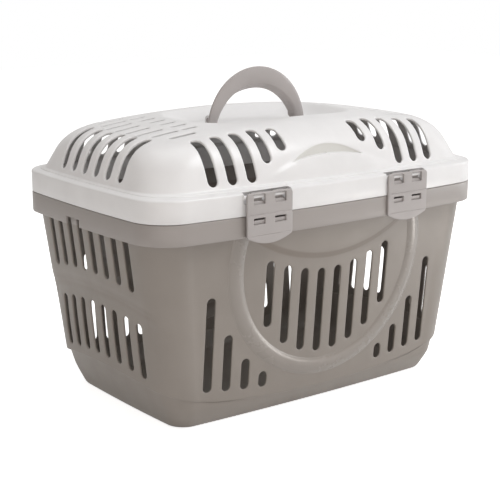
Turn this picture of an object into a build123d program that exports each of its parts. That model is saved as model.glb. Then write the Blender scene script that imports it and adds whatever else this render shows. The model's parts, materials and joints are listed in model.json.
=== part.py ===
from build123d import *
import os
from math import asin, atan, cos, radians, sin, sqrt

# A small plastic pet carrier: a slotted tub, a domed lid that hinges open at the back, four
# clips (two are latches at the front, two are hinges at the back) and a folding carry handle.
# Millimetres. X runs along the long side, the front with the latches faces -Y, Z is up, and
# the origin is the middle of the underside, on the surface that the carrier stands on.

# Rim, the widest outline, shared by the tub's skirt and the lid's band
RIM_HALF_LENGTH = 240.0
RIM_HALF_WIDTH = 154.35
RIM_CORNER = 46.0
RIM_BOW_LONG = 12.2
RIM_BOW_END = 5.5
RIM_HEIGHT = 236.2
SKIRT_DROP = 22.9
SKIRT_THICK = 2.2
RIM_PLATE = 2.2

# Tub walls, given at the floor level and leaning outwards as they rise
WALL_HALF_LENGTH = 206.9
WALL_HALF_WIDTH = 125.3
WALL_LEAN_END = 0.127
WALL_LEAN_LONG = 0.086
WALL_CORNER = 33.0
WALL_CORNER_GROWTH = 0.051
WALL_BOW_LONG = 11.5
WALL_BOW_END = 7.0
WALL_THICK = 2.4

# Plinth: the narrower foot under the walls
FOOT_HALF_LENGTH = 187.5
FOOT_HALF_WIDTH = 110.0
FOOT_CORNER = 23.0
FOOT_BOW_LONG = 4.6
FOOT_BOW_END = 2.3
FOOT_SLOPE_END = 0.45
FOOT_SLOPE_LONG = 0.67
FOOT_HEIGHT = 66.0
FLOOR_THICK = 2.6
LEDGE_STEP = 2.4
LEDGE_FRONT_MIDDLE = 20.6
LEDGE_FRONT_RISE = 13.5
LEDGE_END_MIDDLE = 53.0
LEDGE_END_SAG = 12.0

# Long wall openings: upright slots with round ends
SLOT_WIDTH = 10.8
SLOT_PITCH = 23.91
MIDDLE_SLOT_TOPS = (161.5, 164.8, 171.2, 179.6)
MIDDLE_SLOT_FEET = (63.2, 68.8, 81.2, 104.3)
CORNER_SLOT_TOPS = (52.6, 72.0, 103.4, 148.9)
CORNER_SLOT_FEET = (34.3, 36.1, 38.6, 41.3)
CORNER_SLOT_START = 85.9

# End wall openings: two rows of eight slots under a shallow arch
END_SLOT_WIDTH = 10.6
END_SLOT_PITCH = 22.6
END_SLOTS = 8
END_LOWER_FOOT = 64.2
END_LOWER_TOP = 126.0
END_UPPER_FOOT = 162.6
END_UPPER_TOP = 223.0
END_ARCH_DROP = 7.0

# Raised decoration on both long walls
RING_OUTER = 138.0
RING_BAND = 17.5
RING_CENTRE_HEIGHT = 174.0
RING_PROUD = 1.6
BROW_RADIUS = 195.0
BROW_HEIGHT = 177.0
BROW_PROUD = 0.9

# Small notch in the skirt of each end
NOTCH_WIDTH = 28.0
NOTCH_HEIGHT = 8.7

# Lid band and dome
LID_GAP = 0.4
BAND_HEIGHT = 24.5
LID_SKIRT = 2.2
LEDGE_WIDTH_LONG = 14.4
LEDGE_WIDTH_END = 11.5
LEDGE_RISE = 3.4
LID_WALL = 3.0
DOME_CORNER = 44.0
DOME_LEAN = 0.38
DOME_SHOULDER_LONG = 60.0
DOME_SHOULDER_END = 40.0
DOME_RISE = 62.5
DOME_BOW_LONG = 12.0
DOME_BOW_END = 6.0
CROWN_DROP_END = 17.0 / 200.0 ** 2
CROWN_DROP_LONG = 6.6 / 100.0 ** 2
DOME_SECTIONS = 12
TONGUE_DEPTH = 3.8
TONGUE_THICK = 2.0
TONGUE_CLEAR = 0.9

# Lid openings, with heights measured up from the foot of the dome
LID_SLOT_WIDTH = 12.0
LID_SLOT_PITCH = 24.2
LID_SLOT_START = 57.8
LID_SLOT_FEET = (32.3, 21.3, 3.4, 3.2, 3.2)
LID_SLOT_HEADS = (53.2, 53.3, 51.8, 50.2, 47.9)
LID_END_SLOTS = 6
LID_END_SLOT_PITCH = 23.7
LID_END_SLOT_FOOT = 5.2
LID_END_SLOT_HEAD = 47.4
TOP_SLOT_WIDTH = 5.6
TOP_SLOT_PITCH = 21.0
TOP_OUTER_ROWS = 8
TOP_OUTER_LENGTH = 33.0
TOP_OUTER_X = 171.5
TOP_OUTER_CURVE = 18.0
TOP_INNER_ROWS = 6
TOP_INNER_LENGTH = 20.0
TOP_INNER_X = 131.0

# Shallow crescent pressed into both long sides of the dome
CRESCENT_HALF_LENGTH = 50.0
CRESCENT_TIPS = 19.5
CRESCENT_TOP = 34.5
CRESCENT_UNDER = 24.2
CRESCENT_DEPTH = 1.2

# Handle recess in the top of the lid
RECESS_HALF_LENGTH = 92.0
RECESS_HALF_WIDTH = 48.0
RECESS_CORNER = 34.0
RECESS_SLOPE = 1.55
RECESS_FLOOR = 309.5

# Carry handle, an arch that folds back into the recess
HANDLE_RADIUS = 70.6
HANDLE_CENTRE_HEIGHT = 304.2
GRIP_RADIUS = 60.3
GRIP_CENTRE_HEIGHT = 294.1
HANDLE_FRONT_Y = -4.5
HANDLE_PLATE = 2.8
HANDLE_DEPTH = 14.0
GRIP_FLANGE = 2.6
GRIP_DROP = 5.5
PIVOT_Y = 4.5
PIVOT_ABOVE_FLOOR = 6.5
PIN_RADIUS = 3.0
PIN_CLEAR = 0.06
EAR_RADIUS = 5.6
EAR_THICK = 6.0
EAR_GAP = 0.7
FOOT_RADIUS = 5.8

# Clips, the same moulding four times
CLIP_X = 99.5
CLIP_WIDTH = 60.0
CLIP_TOP = 5.2
CLIP_BOTTOM = 43.6
CLIP_SAG = 7.4
CLIP_THICK = 2.6
CLIP_CORNER = 4.0
CLIP_STANDOFF = 1.35
BAR_HEIGHT = 20.5
BAR_RADIUS = 2.2
BAR_CLEAR = 0.08
HOOK_THICK = 1.9
WINDOW_WIDTH = 15.2
WINDOW_OFFSET = 14.0
UPPER_WINDOW_TOP = 2.6
UPPER_WINDOW_BOTTOM = -6.8
LOWER_WINDOW_TOP = -22.2
LOWER_WINDOW_BOTTOM = -29.3
NOSE_TOP = -24.6
NOSE_THICK = 2.6
NOSE_REACH = 6.0
NOSE_CLEAR_ABOVE = 1.0
NOSE_CLEAR_BELOW = 2.2
GROOVE_MIDDLE = -18.6
GROOVE_LOWER = -41.3
GROOVE_WIDTH = 0.8
GROOVE_DEPTH = 0.5
POCKET_RADIUS = 6.9
POCKET_WALL = 2.0
POCKET_SIDE_CLEAR = 0.8

# Worked out from the sizes above
skirt_bottom = RIM_HEIGHT - SKIRT_DROP
lid_bottom = RIM_HEIGHT + LID_GAP
band_top = lid_bottom + BAND_HEIGHT
dome_base = band_top + LEDGE_RISE
dome_half_length = RIM_HALF_LENGTH - LEDGE_WIDTH_END
dome_half_width = RIM_HALF_WIDTH - LEDGE_WIDTH_LONG
bar_z = RIM_HEIGHT + BAR_HEIGHT
rim_at_clip = RIM_HALF_WIDTH - RIM_BOW_LONG * (CLIP_X / RIM_HALF_LENGTH) ** 2
plate_back_y = rim_at_clip + CLIP_STANDOFF
plate_front_y = plate_back_y + CLIP_THICK
bar_y = plate_back_y - BAR_RADIUS - 0.2
pivot_z = RECESS_FLOOR + PIVOT_ABOVE_FLOOR
grip_at_pivot = sqrt(GRIP_RADIUS ** 2 - (pivot_z - GRIP_CENTRE_HEIGHT) ** 2)
cheek_x = grip_at_pivot + GRIP_FLANGE / 2
ear_x = cheek_x + GRIP_FLANGE / 2 + EAR_GAP + EAR_THICK / 2
far = 2 * RIM_HALF_LENGTH


def outline(half_length, half_width, corner, bow_long, bow_end, height):
    """A rounded rectangle with slightly bowed sides, as a flat face at a height."""
    cx = half_length - bow_end
    cy = half_width - bow_long
    sides = [
        ThreePointArc((-cx, -cy), (0, -half_width), (cx, -cy)),
        ThreePointArc((cx, -cy), (half_length, 0), (cx, cy)),
        ThreePointArc((cx, cy), (0, half_width), (-cx, cy)),
        ThreePointArc((-cx, cy), (-half_length, 0), (-cx, -cy)),
    ]
    face = make_face(sides)
    face = fillet(face.vertices(), corner)
    return Pos(0, 0, height) * face


def rim_outline(inset, height):
    return outline(RIM_HALF_LENGTH - inset, RIM_HALF_WIDTH - inset, RIM_CORNER - inset,
                   RIM_BOW_LONG, RIM_BOW_END, height)


def wall_outline(inset, height):
    """The tub wall's section at a height."""
    return outline(WALL_HALF_LENGTH + WALL_LEAN_END * height - inset,
                   WALL_HALF_WIDTH + WALL_LEAN_LONG * height - inset,
                   WALL_CORNER + WALL_CORNER_GROWTH * height - inset, WALL_BOW_LONG, WALL_BOW_END, height)


def wall_body(inset, low, high):
    return loft([wall_outline(inset, low), wall_outline(inset, high)], ruled=True)


def foot_outline(inset, height):
    """The plinth's section at a height. Its sides slope outwards up to the ledge."""
    return outline(FOOT_HALF_LENGTH + FOOT_SLOPE_END * height - inset,
                   FOOT_HALF_WIDTH + FOOT_SLOPE_LONG * height - inset,
                   FOOT_CORNER + 0.3 * height - inset, FOOT_BOW_LONG, FOOT_BOW_END, height)


def foot_body(inset, low):
    return loft([foot_outline(inset, low), foot_outline(inset, FOOT_HEIGHT)], ruled=True)


def ledge_height(x, y):
    """Where the wall ends and the plinth begins: low along the front, arched at the ends."""
    along = LEDGE_FRONT_MIDDLE + LEDGE_FRONT_RISE * (x / WALL_HALF_LENGTH) ** 2
    start = 0.68 * WALL_HALF_LENGTH
    blend = min(max((abs(x) - start) / (WALL_HALF_LENGTH - start), 0.0), 1.0)
    blend = blend * blend * (3 - 2 * blend)
    arch = LEDGE_END_MIDDLE - LEDGE_END_SAG * (y / WALL_HALF_WIDTH) ** 2
    return along + (arch - LEDGE_FRONT_MIDDLE - LEDGE_FRONT_RISE) * blend


def below_ledge(lift):
    """Everything under the ledge, as a solid with a curved top."""
    reach_x = RIM_HALF_LENGTH
    reach_y = RIM_HALF_WIDTH
    columns = 17
    rows = 9
    points = []
    for i in range(columns):
        x = -reach_x + 2 * reach_x * i / (columns - 1)
        line = []
        for j in range(rows):
            y = -reach_y + 2 * reach_y * j / (rows - 1)
            line.append(Vector(x, y, ledge_height(x, y) + lift))
        points.append(line)
    top = Face.make_surface_from_array_of_points(points)
    return extrude(top, amount=FOOT_HEIGHT + 60, dir=(0, 0, -1))


def upright_slot(across, foot, head, width, plane, centre=0.0):
    """A slot with round ends in a wall, as a cutter along the plane's normal, both ways."""
    shape = Pos(across, (foot + head) / 2) * SlotOverall(head - foot, width, 90)
    return extrude(plane * shape, amount=far, both=True)


def long_wall_slots():
    cutters = []
    for i, (foot, head) in enumerate(zip(MIDDLE_SLOT_FEET, MIDDLE_SLOT_TOPS)):
        for side in (-1, 1):
            x = side * (i + 0.5) * SLOT_PITCH
            cutters.append(upright_slot(x, foot, head, SLOT_WIDTH, Plane.XZ))
    for i, (foot, head) in enumerate(zip(CORNER_SLOT_FEET, CORNER_SLOT_TOPS)):
        for side in (-1, 1):
            x = side * (CORNER_SLOT_START + i * SLOT_PITCH)
            cutters.append(upright_slot(x, foot, head, SLOT_WIDTH, Plane.XZ))
    return cutters


def end_wall_slots():
    cutters = []
    half = (END_SLOTS - 1) / 2
    for i in range(END_SLOTS):
        drop = END_ARCH_DROP * ((i - half) / half) ** 2
        y = (i - half) * END_SLOT_PITCH
        lower = (END_LOWER_FOOT - drop, END_LOWER_TOP - drop)
        upper = (END_UPPER_FOOT - drop, END_UPPER_TOP)
        for foot, head in (lower, upper):
            cutters.append(upright_slot(y, foot, head, END_SLOT_WIDTH, Plane.YZ))
    return cutters


def wall_decoration():
    """A raised ring band and a shallow brow above it, both following the bowed wall."""
    limit = Pos(0, RING_CENTRE_HEIGHT - RING_OUTER + (skirt_bottom - RING_CENTRE_HEIGHT + RING_OUTER) / 2)
    window = limit * Rectangle(3 * RING_OUTER, skirt_bottom - RING_CENTRE_HEIGHT + RING_OUTER + 2)
    centre = Pos(0, RING_CENTRE_HEIGHT)
    ring = centre * (Circle(RING_OUTER) - Circle(RING_OUTER - RING_BAND))
    ring = ring & window
    brow = Pos(0, BROW_HEIGHT + BROW_RADIUS) * Circle(BROW_RADIUS)
    brow = brow & window
    ring_solid = extrude(Plane.XZ * ring, amount=far, both=True)
    brow_solid = extrude(Plane.XZ * brow, amount=far, both=True)
    top = RIM_HEIGHT - RIM_PLATE
    ring_solid = ring_solid & wall_body(-RING_PROUD, 1.0, top)
    brow_solid = brow_solid & wall_body(-BROW_PROUD, 1.0, top)
    return ring_solid, brow_solid


def clip_slots():
    """Slots in the skirt that the noses of the four clips hook into."""
    cutters = []
    high = bar_z + NOSE_TOP + NOSE_CLEAR_ABOVE
    low = bar_z + NOSE_TOP - NOSE_THICK - NOSE_CLEAR_BELOW
    depth = 2 * NOSE_REACH + 4
    for x in (-CLIP_X, CLIP_X):
        for side in (-1, 1):
            for offset in (-WINDOW_OFFSET, WINDOW_OFFSET):
                slot = Box(WINDOW_WIDTH + 1.2, depth, high - low)
                cutters.append(Pos(x + offset, side * rim_at_clip, (high + low) / 2) * slot)
    return cutters


def make_tub():
    outer = wall_body(0, 0, RIM_HEIGHT - RIM_PLATE / 2) - below_ledge(0)
    foot = foot_body(0, 0) & wall_body(LEDGE_STEP, 0, RIM_HEIGHT)
    body = outer + foot + list(wall_decoration())
    cavity_high = wall_body(WALL_THICK, 0, RIM_HEIGHT + 1) - below_ledge(FLOOR_THICK)
    cavity_low = foot_body(WALL_THICK + 0.5, FLOOR_THICK)
    cavity_low = cavity_low & wall_body(LEDGE_STEP + WALL_THICK, 0, RIM_HEIGHT)
    body = body - [cavity_high, cavity_low]
    body = body - (long_wall_slots() + end_wall_slots())
    rim = extrude(rim_outline(0, skirt_bottom), amount=SKIRT_DROP)
    rim = rim - extrude(rim_outline(SKIRT_THICK, skirt_bottom - 1), amount=SKIRT_DROP - RIM_PLATE + 1)
    rim = rim - wall_body(WALL_THICK / 2, skirt_bottom - 1, RIM_HEIGHT + 1)
    notches = []
    for side in (-1, 1):
        notch = Box(20, NOTCH_WIDTH, NOTCH_HEIGHT)
        notches.append(Pos(side * RIM_HALF_LENGTH, NOTCH_WIDTH / 2, skirt_bottom + NOTCH_HEIGHT / 2) * notch)
    rim = rim - (clip_slots() + notches)
    return body + rim


def shoulder(half, radius, top, drop):
    """The rise at which one side of the dome leaves its leaning wall, and how far it turns."""
    lean = atan(DOME_LEAN)
    start = 0.3 * top
    turn = radians(80)
    for _ in range(40):
        reach = half - DOME_LEAN * start - radius * (cos(lean) - cos(turn))
        turn = radians(90) - atan(2 * drop * reach)
        start = top - drop * reach ** 2 - radius * (sin(turn) - sin(lean))
    return start, turn


def dome_reach(rise, half, radius, drop, shell):
    """Half the dome's length or width at a rise: leaning wall, round shoulder, then crown."""
    lean = atan(DOME_LEAN)
    half = half - shell * sqrt(1 + DOME_LEAN ** 2)
    radius = radius - shell
    top = DOME_RISE - shell
    start, turn = shoulder(half, radius, top, drop)
    end = start + radius * (sin(turn) - sin(lean))
    if rise <= start:
        return half - DOME_LEAN * rise
    if rise >= end:
        return sqrt(max(top - rise, 0.5) / drop)
    angle = asin(sin(lean) + (rise - start) / radius)
    return half - DOME_LEAN * start - radius * (cos(lean) - cos(angle))


def dome_halves(rise, shell=0.0):
    length = dome_reach(rise, dome_half_length, DOME_SHOULDER_END, CROWN_DROP_END, shell)
    width = dome_reach(rise, dome_half_width, DOME_SHOULDER_LONG, CROWN_DROP_LONG, shell)
    return length, width


def dome_shape(rise):
    """Bows and corner radius of the dome's section. They grow towards the crown."""
    blend = min(max((rise - 0.6 * DOME_RISE) / (0.36 * DOME_RISE), 0.0), 1.0) ** 2
    bow_long = DOME_BOW_LONG + 12.0 * blend
    bow_end = DOME_BOW_END + 18.0 * blend
    corner = DOME_CORNER + 0.3 * max(rise, 0.0)
    return bow_long, bow_end, corner


def dome_outline(rise, shell=0.0):
    half_length, half_width = dome_halves(rise, shell)
    bow_long, bow_end, corner = dome_shape(rise)
    corner = min(corner - shell, 0.8 * (half_width - bow_long))
    return outline(half_length, half_width, corner, bow_long, bow_end, dome_base + rise)


def dome_body(low, shell):
    """The dome's volume from a rise upwards, cut flat near the crown inside the recess."""
    high = DOME_RISE - 2.4 - shell
    sections = []
    for i in range(DOME_SECTIONS):
        t = i / (DOME_SECTIONS - 1)
        t = 1 - (1 - t) ** 1.7
        sections.append(dome_outline(low + (high - low) * t, shell))
    return loft(sections)


def dome_edge(along, rise, ends=False):
    """How far out the dome's surface is, on the long side or the end, at a place and a rise."""
    half_length, half_width = dome_halves(rise)
    bow_long, bow_end, corner = dome_shape(rise)
    span, reach, bow = half_length, half_width, bow_long
    if ends:
        span, reach, bow = half_width, half_length, bow_end
    edge = reach - bow * (along / span) ** 2
    past = abs(along) - (span - corner)
    if past > 0:
        edge -= corner - sqrt(max(corner ** 2 - past ** 2, 0.0))
    return edge


def dome_slot(along, foot, head, width, ends=False):
    """A round-ended slot lying on the chord from its foot to its head on the dome."""
    low = dome_edge(along, foot, ends)
    high = dome_edge(along, head, ends)
    rise = head - foot
    run = low - high
    length = sqrt(rise ** 2 + run ** 2)
    out = (low + high) / 2
    middle = dome_base + (foot + head) / 2
    if ends:
        plane = Plane(origin=(out, along, middle), x_dir=(0, 1, 0), z_dir=(rise, 0, run))
    else:
        plane = Plane(origin=(along, -out, middle), x_dir=(1, 0, 0), z_dir=(0, -rise, run))
    shape = plane * SlotOverall(length, width, 90)
    return extrude(shape, amount=28) + extrude(shape, amount=-9)


def lid_slots():
    cutters = []
    for i, (foot, head) in enumerate(zip(LID_SLOT_FEET, LID_SLOT_HEADS)):
        x = LID_SLOT_START + i * LID_SLOT_PITCH
        cutter = dome_slot(x, foot, head, LID_SLOT_WIDTH)
        for copy in (cutter, mirror(cutter, Plane.YZ)):
            cutters.append(copy)
            cutters.append(mirror(copy, Plane.XZ))
    for i in range(LID_END_SLOTS):
        y = (i - (LID_END_SLOTS - 1) / 2) * LID_END_SLOT_PITCH
        cutter = dome_slot(y, LID_END_SLOT_FOOT, LID_END_SLOT_HEAD, LID_SLOT_WIDTH, True)
        cutters.append(cutter)
        cutters.append(mirror(cutter, Plane.YZ))
    return cutters


def top_slots():
    """Two groups of narrow slots across each end of the crown."""
    cutters = []
    low = RECESS_FLOOR - 24
    for rows, length, x, curve in ((TOP_OUTER_ROWS, TOP_OUTER_LENGTH, TOP_OUTER_X, TOP_OUTER_CURVE),
                                   (TOP_INNER_ROWS, TOP_INNER_LENGTH, TOP_INNER_X, 0.0)):
        half = (rows - 1) / 2
        for i in range(rows):
            shift = curve * ((i - half) / half) ** 2
            for side in (-1, 1):
                place = Pos(side * (x - shift), (i - half) * TOP_SLOT_PITCH, low)
                cutters.append(extrude(place * SlotOverall(length, TOP_SLOT_WIDTH), amount=60))
    return cutters


def crescents():
    """The two crescent recesses, cut to an even depth that follows the dome."""
    tips = dome_base + CRESCENT_TIPS
    left = (-CRESCENT_HALF_LENGTH, tips)
    right = (CRESCENT_HALF_LENGTH, tips)
    upper = ThreePointArc(left, (0, dome_base + CRESCENT_TOP), right)
    lower = ThreePointArc(right, (0, dome_base + CRESCENT_UNDER), left)
    prism = extrude(Plane.XZ * make_face([upper, lower]), amount=far, both=True)
    return prism - dome_body(-CRESCENT_DEPTH, CRESCENT_DEPTH)


def recess_outline(grow, height):
    out = RECESS_SLOPE * (height - RECESS_FLOOR) + grow
    return outline(RECESS_HALF_LENGTH + out, RECESS_HALF_WIDTH + out, RECESS_CORNER + 0.7 * out,
                   6.0, 4.0, height)


def recess_body(grow, low):
    return loft([recess_outline(grow, low), recess_outline(grow, RECESS_FLOOR + 20)], ruled=True)


def along_x(shape, x, length):
    """Extrude a YZ sketch, drawn about the origin, to a length centred at x."""
    return Pos(x, 0, 0) * extrude(Plane.YZ * shape, amount=length / 2, both=True)


def make_lid():
    ring = wall_outline(WALL_THICK + TONGUE_CLEAR, RIM_HEIGHT)
    ring = ring - wall_outline(WALL_THICK + TONGUE_CLEAR + TONGUE_THICK, RIM_HEIGHT)
    tongue = extrude(Pos(0, 0, -TONGUE_DEPTH) * ring, amount=dome_base - RIM_HEIGHT + TONGUE_DEPTH)
    band = extrude(rim_outline(0, lid_bottom), amount=BAND_HEIGHT)
    ledge = loft([rim_outline(0.6, band_top), dome_outline(0)], ruled=True)
    stub = extrude(Pos(0, 0, -TONGUE_DEPTH) * ring, amount=TONGUE_DEPTH + 8)
    body = band + [ledge, dome_body(0, 0), stub]

    # The space inside is cut out around the recess's pan, the tongue and the bars' pockets
    drop = LID_WALL
    hollow = extrude(rim_outline(LID_SKIRT, lid_bottom - 1), amount=BAND_HEIGHT + 1 - drop)
    hollow = hollow + loft([rim_outline(LID_SKIRT, band_top - drop), dome_outline(-drop, LID_WALL)], ruled=True)
    hollow = hollow + dome_body(-drop, LID_WALL)
    width = CLIP_WIDTH + 2 * POCKET_SIDE_CLEAR
    pockets = []
    shells = []
    bars = []
    for x in (-CLIP_X, CLIP_X):
        for side in (-1, 1):
            place = Pos(0, side * bar_y, bar_z)
            shells.append(place * along_x(Circle(POCKET_RADIUS + POCKET_WALL), x, width + 2 * POCKET_WALL))
            pockets.append(place * along_x(Circle(POCKET_RADIUS), x, width))
            bars.append(place * along_x(Circle(BAR_RADIUS), x, width + POCKET_WALL))
    pan = recess_body(LID_WALL * sqrt(1 + RECESS_SLOPE ** 2), RECESS_FLOOR - LID_WALL)
    hollow = hollow - [pan, tongue, *shells]
    body = body - hollow
    body = body - recess_body(0, RECESS_FLOOR)
    body = body - pockets
    body = body - (lid_slots() + top_slots() + [crescents()])
    body = body + bars

    ear = Pos(PIVOT_Y, pivot_z) * Circle(EAR_RADIUS)
    stalk = Pos(PIVOT_Y, (RECESS_FLOOR - 1 + pivot_z) / 2)
    ear = ear + stalk * Rectangle(2 * EAR_RADIUS, pivot_z - RECESS_FLOOR + 1)
    ear = ear - Pos(PIVOT_Y, pivot_z) * Circle(PIN_RADIUS + PIN_CLEAR)
    for side in (-1, 1):
        body = body + along_x(ear, side * ear_x, EAR_THICK)
    return body


def make_handle():
    front = HANDLE_FRONT_Y
    back = HANDLE_FRONT_Y + HANDLE_DEPTH
    grow = 0.85 * GRIP_DROP

    def arch(extra, start, end):
        """The arch's round form between two shares of its depth. Its back hangs lower."""
        rings = []
        for t in (start, end):
            radius = GRIP_RADIUS + grow * t
            centre = GRIP_CENTRE_HEIGHT - (GRIP_DROP + grow) * t
            plane = Plane.XZ.offset(-(front + HANDLE_DEPTH * t))
            rings.append(plane * (Pos(0, centre) * Circle(radius + extra)))
        return loft(rings, ruled=True)

    plate = extrude(Plane.XZ * (Pos(0, HANDLE_CENTRE_HEIGHT) * Circle(HANDLE_RADIUS)), amount=HANDLE_PLATE)
    plate = Pos(0, HANDLE_FRONT_Y + HANDLE_PLATE, 0) * plate
    grip = plate + arch(GRIP_FLANGE, 0.1, 1)
    grip = grip - arch(0, -0.3, 1.3)
    foot_z = pivot_z - FOOT_RADIUS
    keep = Pos((front + back) / 2, pivot_z + 60) * Rectangle(HANDLE_DEPTH, 120)
    keep = keep + Pos((front + PIVOT_Y) / 2, (foot_z + pivot_z) / 2) * Rectangle(PIVOT_Y - front, FOOT_RADIUS)
    keep = keep + Pos(PIVOT_Y, pivot_z) * Circle(back - PIVOT_Y)
    grip = grip & along_x(keep, 0, 4 * HANDLE_RADIUS)
    for side in (-1, 1):
        corner = Pos(side * (cheek_x + GRIP_FLANGE / 2 + 20), front + HANDLE_PLATE + 15, pivot_z)
        grip = grip - corner * Box(40, 30, 16)
    cheek = keep & (Pos(PIVOT_Y, pivot_z - 1) * Rectangle(4 * FOOT_RADIUS, 2 * FOOT_RADIUS))
    for side in (-1, 1):
        grip = grip + along_x(cheek, side * cheek_x, GRIP_FLANGE)
        pin = Pos(PIVOT_Y, pivot_z) * Circle(PIN_RADIUS)
        length = ear_x + EAR_THICK / 2 + 1.2 - cheek_x
        grip = grip + along_x(pin, side * (cheek_x + length / 2), length)
    return grip


def make_clip():
    """One clip at the origin of its bar, with the plate on the -Y side."""
    front = -(plate_front_y - bar_y)
    back = -(plate_back_y - bar_y)
    half = CLIP_WIDTH / 2
    foot = -CLIP_BOTTOM
    sides = Polyline((-half, foot), (-half, CLIP_TOP), (half, CLIP_TOP), (half, foot))
    sole = ThreePointArc((half, foot), (0, foot - CLIP_SAG), (-half, foot))
    face = make_face([*sides.edges(), sole])
    face = fillet(face.vertices(), CLIP_CORNER)
    for x in (-WINDOW_OFFSET, WINDOW_OFFSET):
        for high, low in ((UPPER_WINDOW_TOP, UPPER_WINDOW_BOTTOM), (LOWER_WINDOW_TOP, LOWER_WINDOW_BOTTOM)):
            face = face - Pos(x, (high + low) / 2) * Rectangle(WINDOW_WIDTH, high - low)
    plate = extrude(Plane.XZ * face, amount=far, both=True)
    side_view = Pos((front + back) / 2, CLIP_TOP - 40) * Rectangle(CLIP_THICK, 80)
    edge = side_view.vertices().sort_by(Axis.Y)[-2:].sort_by(Axis.X)[0]
    side_view = fillet(edge, 1.8)
    for z in (GROOVE_MIDDLE, GROOVE_LOWER):
        side_view = side_view - Pos(front, z) * Rectangle(2 * GROOVE_DEPTH, GROOVE_WIDTH)
    plate = plate & along_x(side_view, 0, 2 * CLIP_WIDTH)

    inner = BAR_RADIUS + BAR_CLEAR
    outer = inner + HOOK_THICK
    hook = Circle(outer) & (Pos(outer, 0) * Rectangle(2 * outer, 4 * outer))
    hook = hook + (Circle(outer) & (Pos(0, -1.4 - outer) * Rectangle(4 * outer, 2 * outer)))
    root = Pos((front + 0.6 + back) / 2, (UPPER_WINDOW_BOTTOM - 0.6 - inner) / 2)
    hook = hook + root * Rectangle(back - front - 0.6, inner - UPPER_WINDOW_BOTTOM - 0.6 + 1.2)
    hook = hook + Pos((front + 0.6) / 2, -(inner + outer) / 2) * Rectangle(-front - 0.6, outer - inner)
    hook = hook - Circle(inner)
    nose = Pos((front + 0.9 + NOSE_REACH + back) / 2, NOSE_TOP - NOSE_THICK / 2)
    nose = nose * Rectangle(back + NOSE_REACH - front - 0.9, NOSE_THICK)
    for x in (-WINDOW_OFFSET, WINDOW_OFFSET):
        plate = plate + along_x(hook, x, WINDOW_WIDTH + 0.4)
        plate = plate + along_x(nose, x, WINDOW_WIDTH + 0.4)
    return plate


tub = make_tub()
lid = make_lid()
handle = make_handle()
clip = make_clip()
front_clip = Pos(CLIP_X, -bar_y, bar_z) * clip
back_clip = mirror(front_clip, Plane.XZ)

parts = {
    "tub": tub,
    "lid": lid,
    "handle": handle,
    "latch_left": Pos(-2 * CLIP_X, 0, 0) * front_clip,
    "latch_right": front_clip,
    "hinge_left": Pos(-2 * CLIP_X, 0, 0) * back_clip,
    "hinge_right": back_clip,
}

os.makedirs("parts", exist_ok=True)
for name, shape in parts.items():
    solids = shape.solids()
    print(name, len(solids), round(sum(s.volume for s in solids) / 1000, 1))
    export_step(shape, "parts/" + name + ".step")
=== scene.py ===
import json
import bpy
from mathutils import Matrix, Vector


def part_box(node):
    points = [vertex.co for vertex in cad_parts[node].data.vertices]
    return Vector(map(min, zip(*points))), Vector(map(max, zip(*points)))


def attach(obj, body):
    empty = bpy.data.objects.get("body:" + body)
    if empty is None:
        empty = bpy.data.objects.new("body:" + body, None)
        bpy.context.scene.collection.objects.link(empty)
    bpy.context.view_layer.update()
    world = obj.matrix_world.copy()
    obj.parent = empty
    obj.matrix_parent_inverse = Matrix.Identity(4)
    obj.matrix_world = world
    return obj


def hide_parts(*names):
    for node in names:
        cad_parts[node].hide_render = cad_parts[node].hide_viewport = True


bl_info = {
    "name": "Plastic Pet Carrier",
    "version": (1, 0, 0),
    "blender": (4, 5, 0),
    "location": "View3D > Sidebar > Pet Carrier",
    "description": "Dresses the CAD frame of a two-part plastic pet carrier",
    "category": "Object",
}

from math import cos, pi, radians, sin, sqrt

import bmesh
import bpy
import numpy as np
from mathutils import Vector
from mathutils.geometry import delaunay_2d_cdt

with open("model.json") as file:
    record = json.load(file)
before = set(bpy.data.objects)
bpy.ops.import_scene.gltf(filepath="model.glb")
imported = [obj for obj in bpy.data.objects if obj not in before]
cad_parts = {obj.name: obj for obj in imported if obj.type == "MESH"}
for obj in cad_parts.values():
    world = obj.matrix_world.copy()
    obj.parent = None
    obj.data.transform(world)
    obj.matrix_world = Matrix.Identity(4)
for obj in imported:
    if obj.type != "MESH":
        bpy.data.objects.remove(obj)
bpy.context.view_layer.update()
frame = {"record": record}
joints = {joint["name"]: joint for joint in frame["record"]["behaviour"]["joints"]}

# Shapes are worked out in millimetres, as in the CAD, and written to meshes in metres
MM = 0.001


def node_mm(name):
    """A CAD node's lowest and highest corners in millimetres."""
    return [Vector(corner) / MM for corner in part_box(name)]


tub_high = node_mm("tub")[1]
latch_low, latch_high = node_mm("latch_right")
handle_low, handle_high = node_mm("handle")
bar_y, bar_z = [abs(value) / MM for value in joints["latch_right_swing"]["pos_m"][1:]]
clip_x = joints["latch_right_swing"]["pos_m"][0] / MM
pivot_y, pivot_z = [value / MM for value in joints["handle_fold"]["pos_m"][1:]]

# Directions of the part's frame
RIGHT = np.array([1.0, 0.0, 0.0])
FRONT = np.array([0.0, -1.0, 0.0])
BACK = np.array([0.0, 1.0, 0.0])
UP = np.array([0.0, 0.0, 1.0])

# Rim that the tub's skirt and the lid's band share
RIM_LENGTH = tub_high.x
RIM_WIDTH = 154.35
RIM_CORNER = 46.0
RIM_BOWS = (12.2, 5.5)
RIM_TOP = tub_high.z
SKIRT_DROP = 22.9
SKIRT_WALL = 2.2
SKIRT_SLOT_HALF = 8.2
SKIRT_SLOT_HEIGHTS = (-29.2, -23.4)
NOTCH_WIDTH = 28.0
NOTCH_RISE = 8.7
LID_FOOT = RIM_TOP + 0.4
BAND_TOP = LID_FOOT + 24.5
DOME_FOOT = BAND_TOP + 3.4

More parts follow.
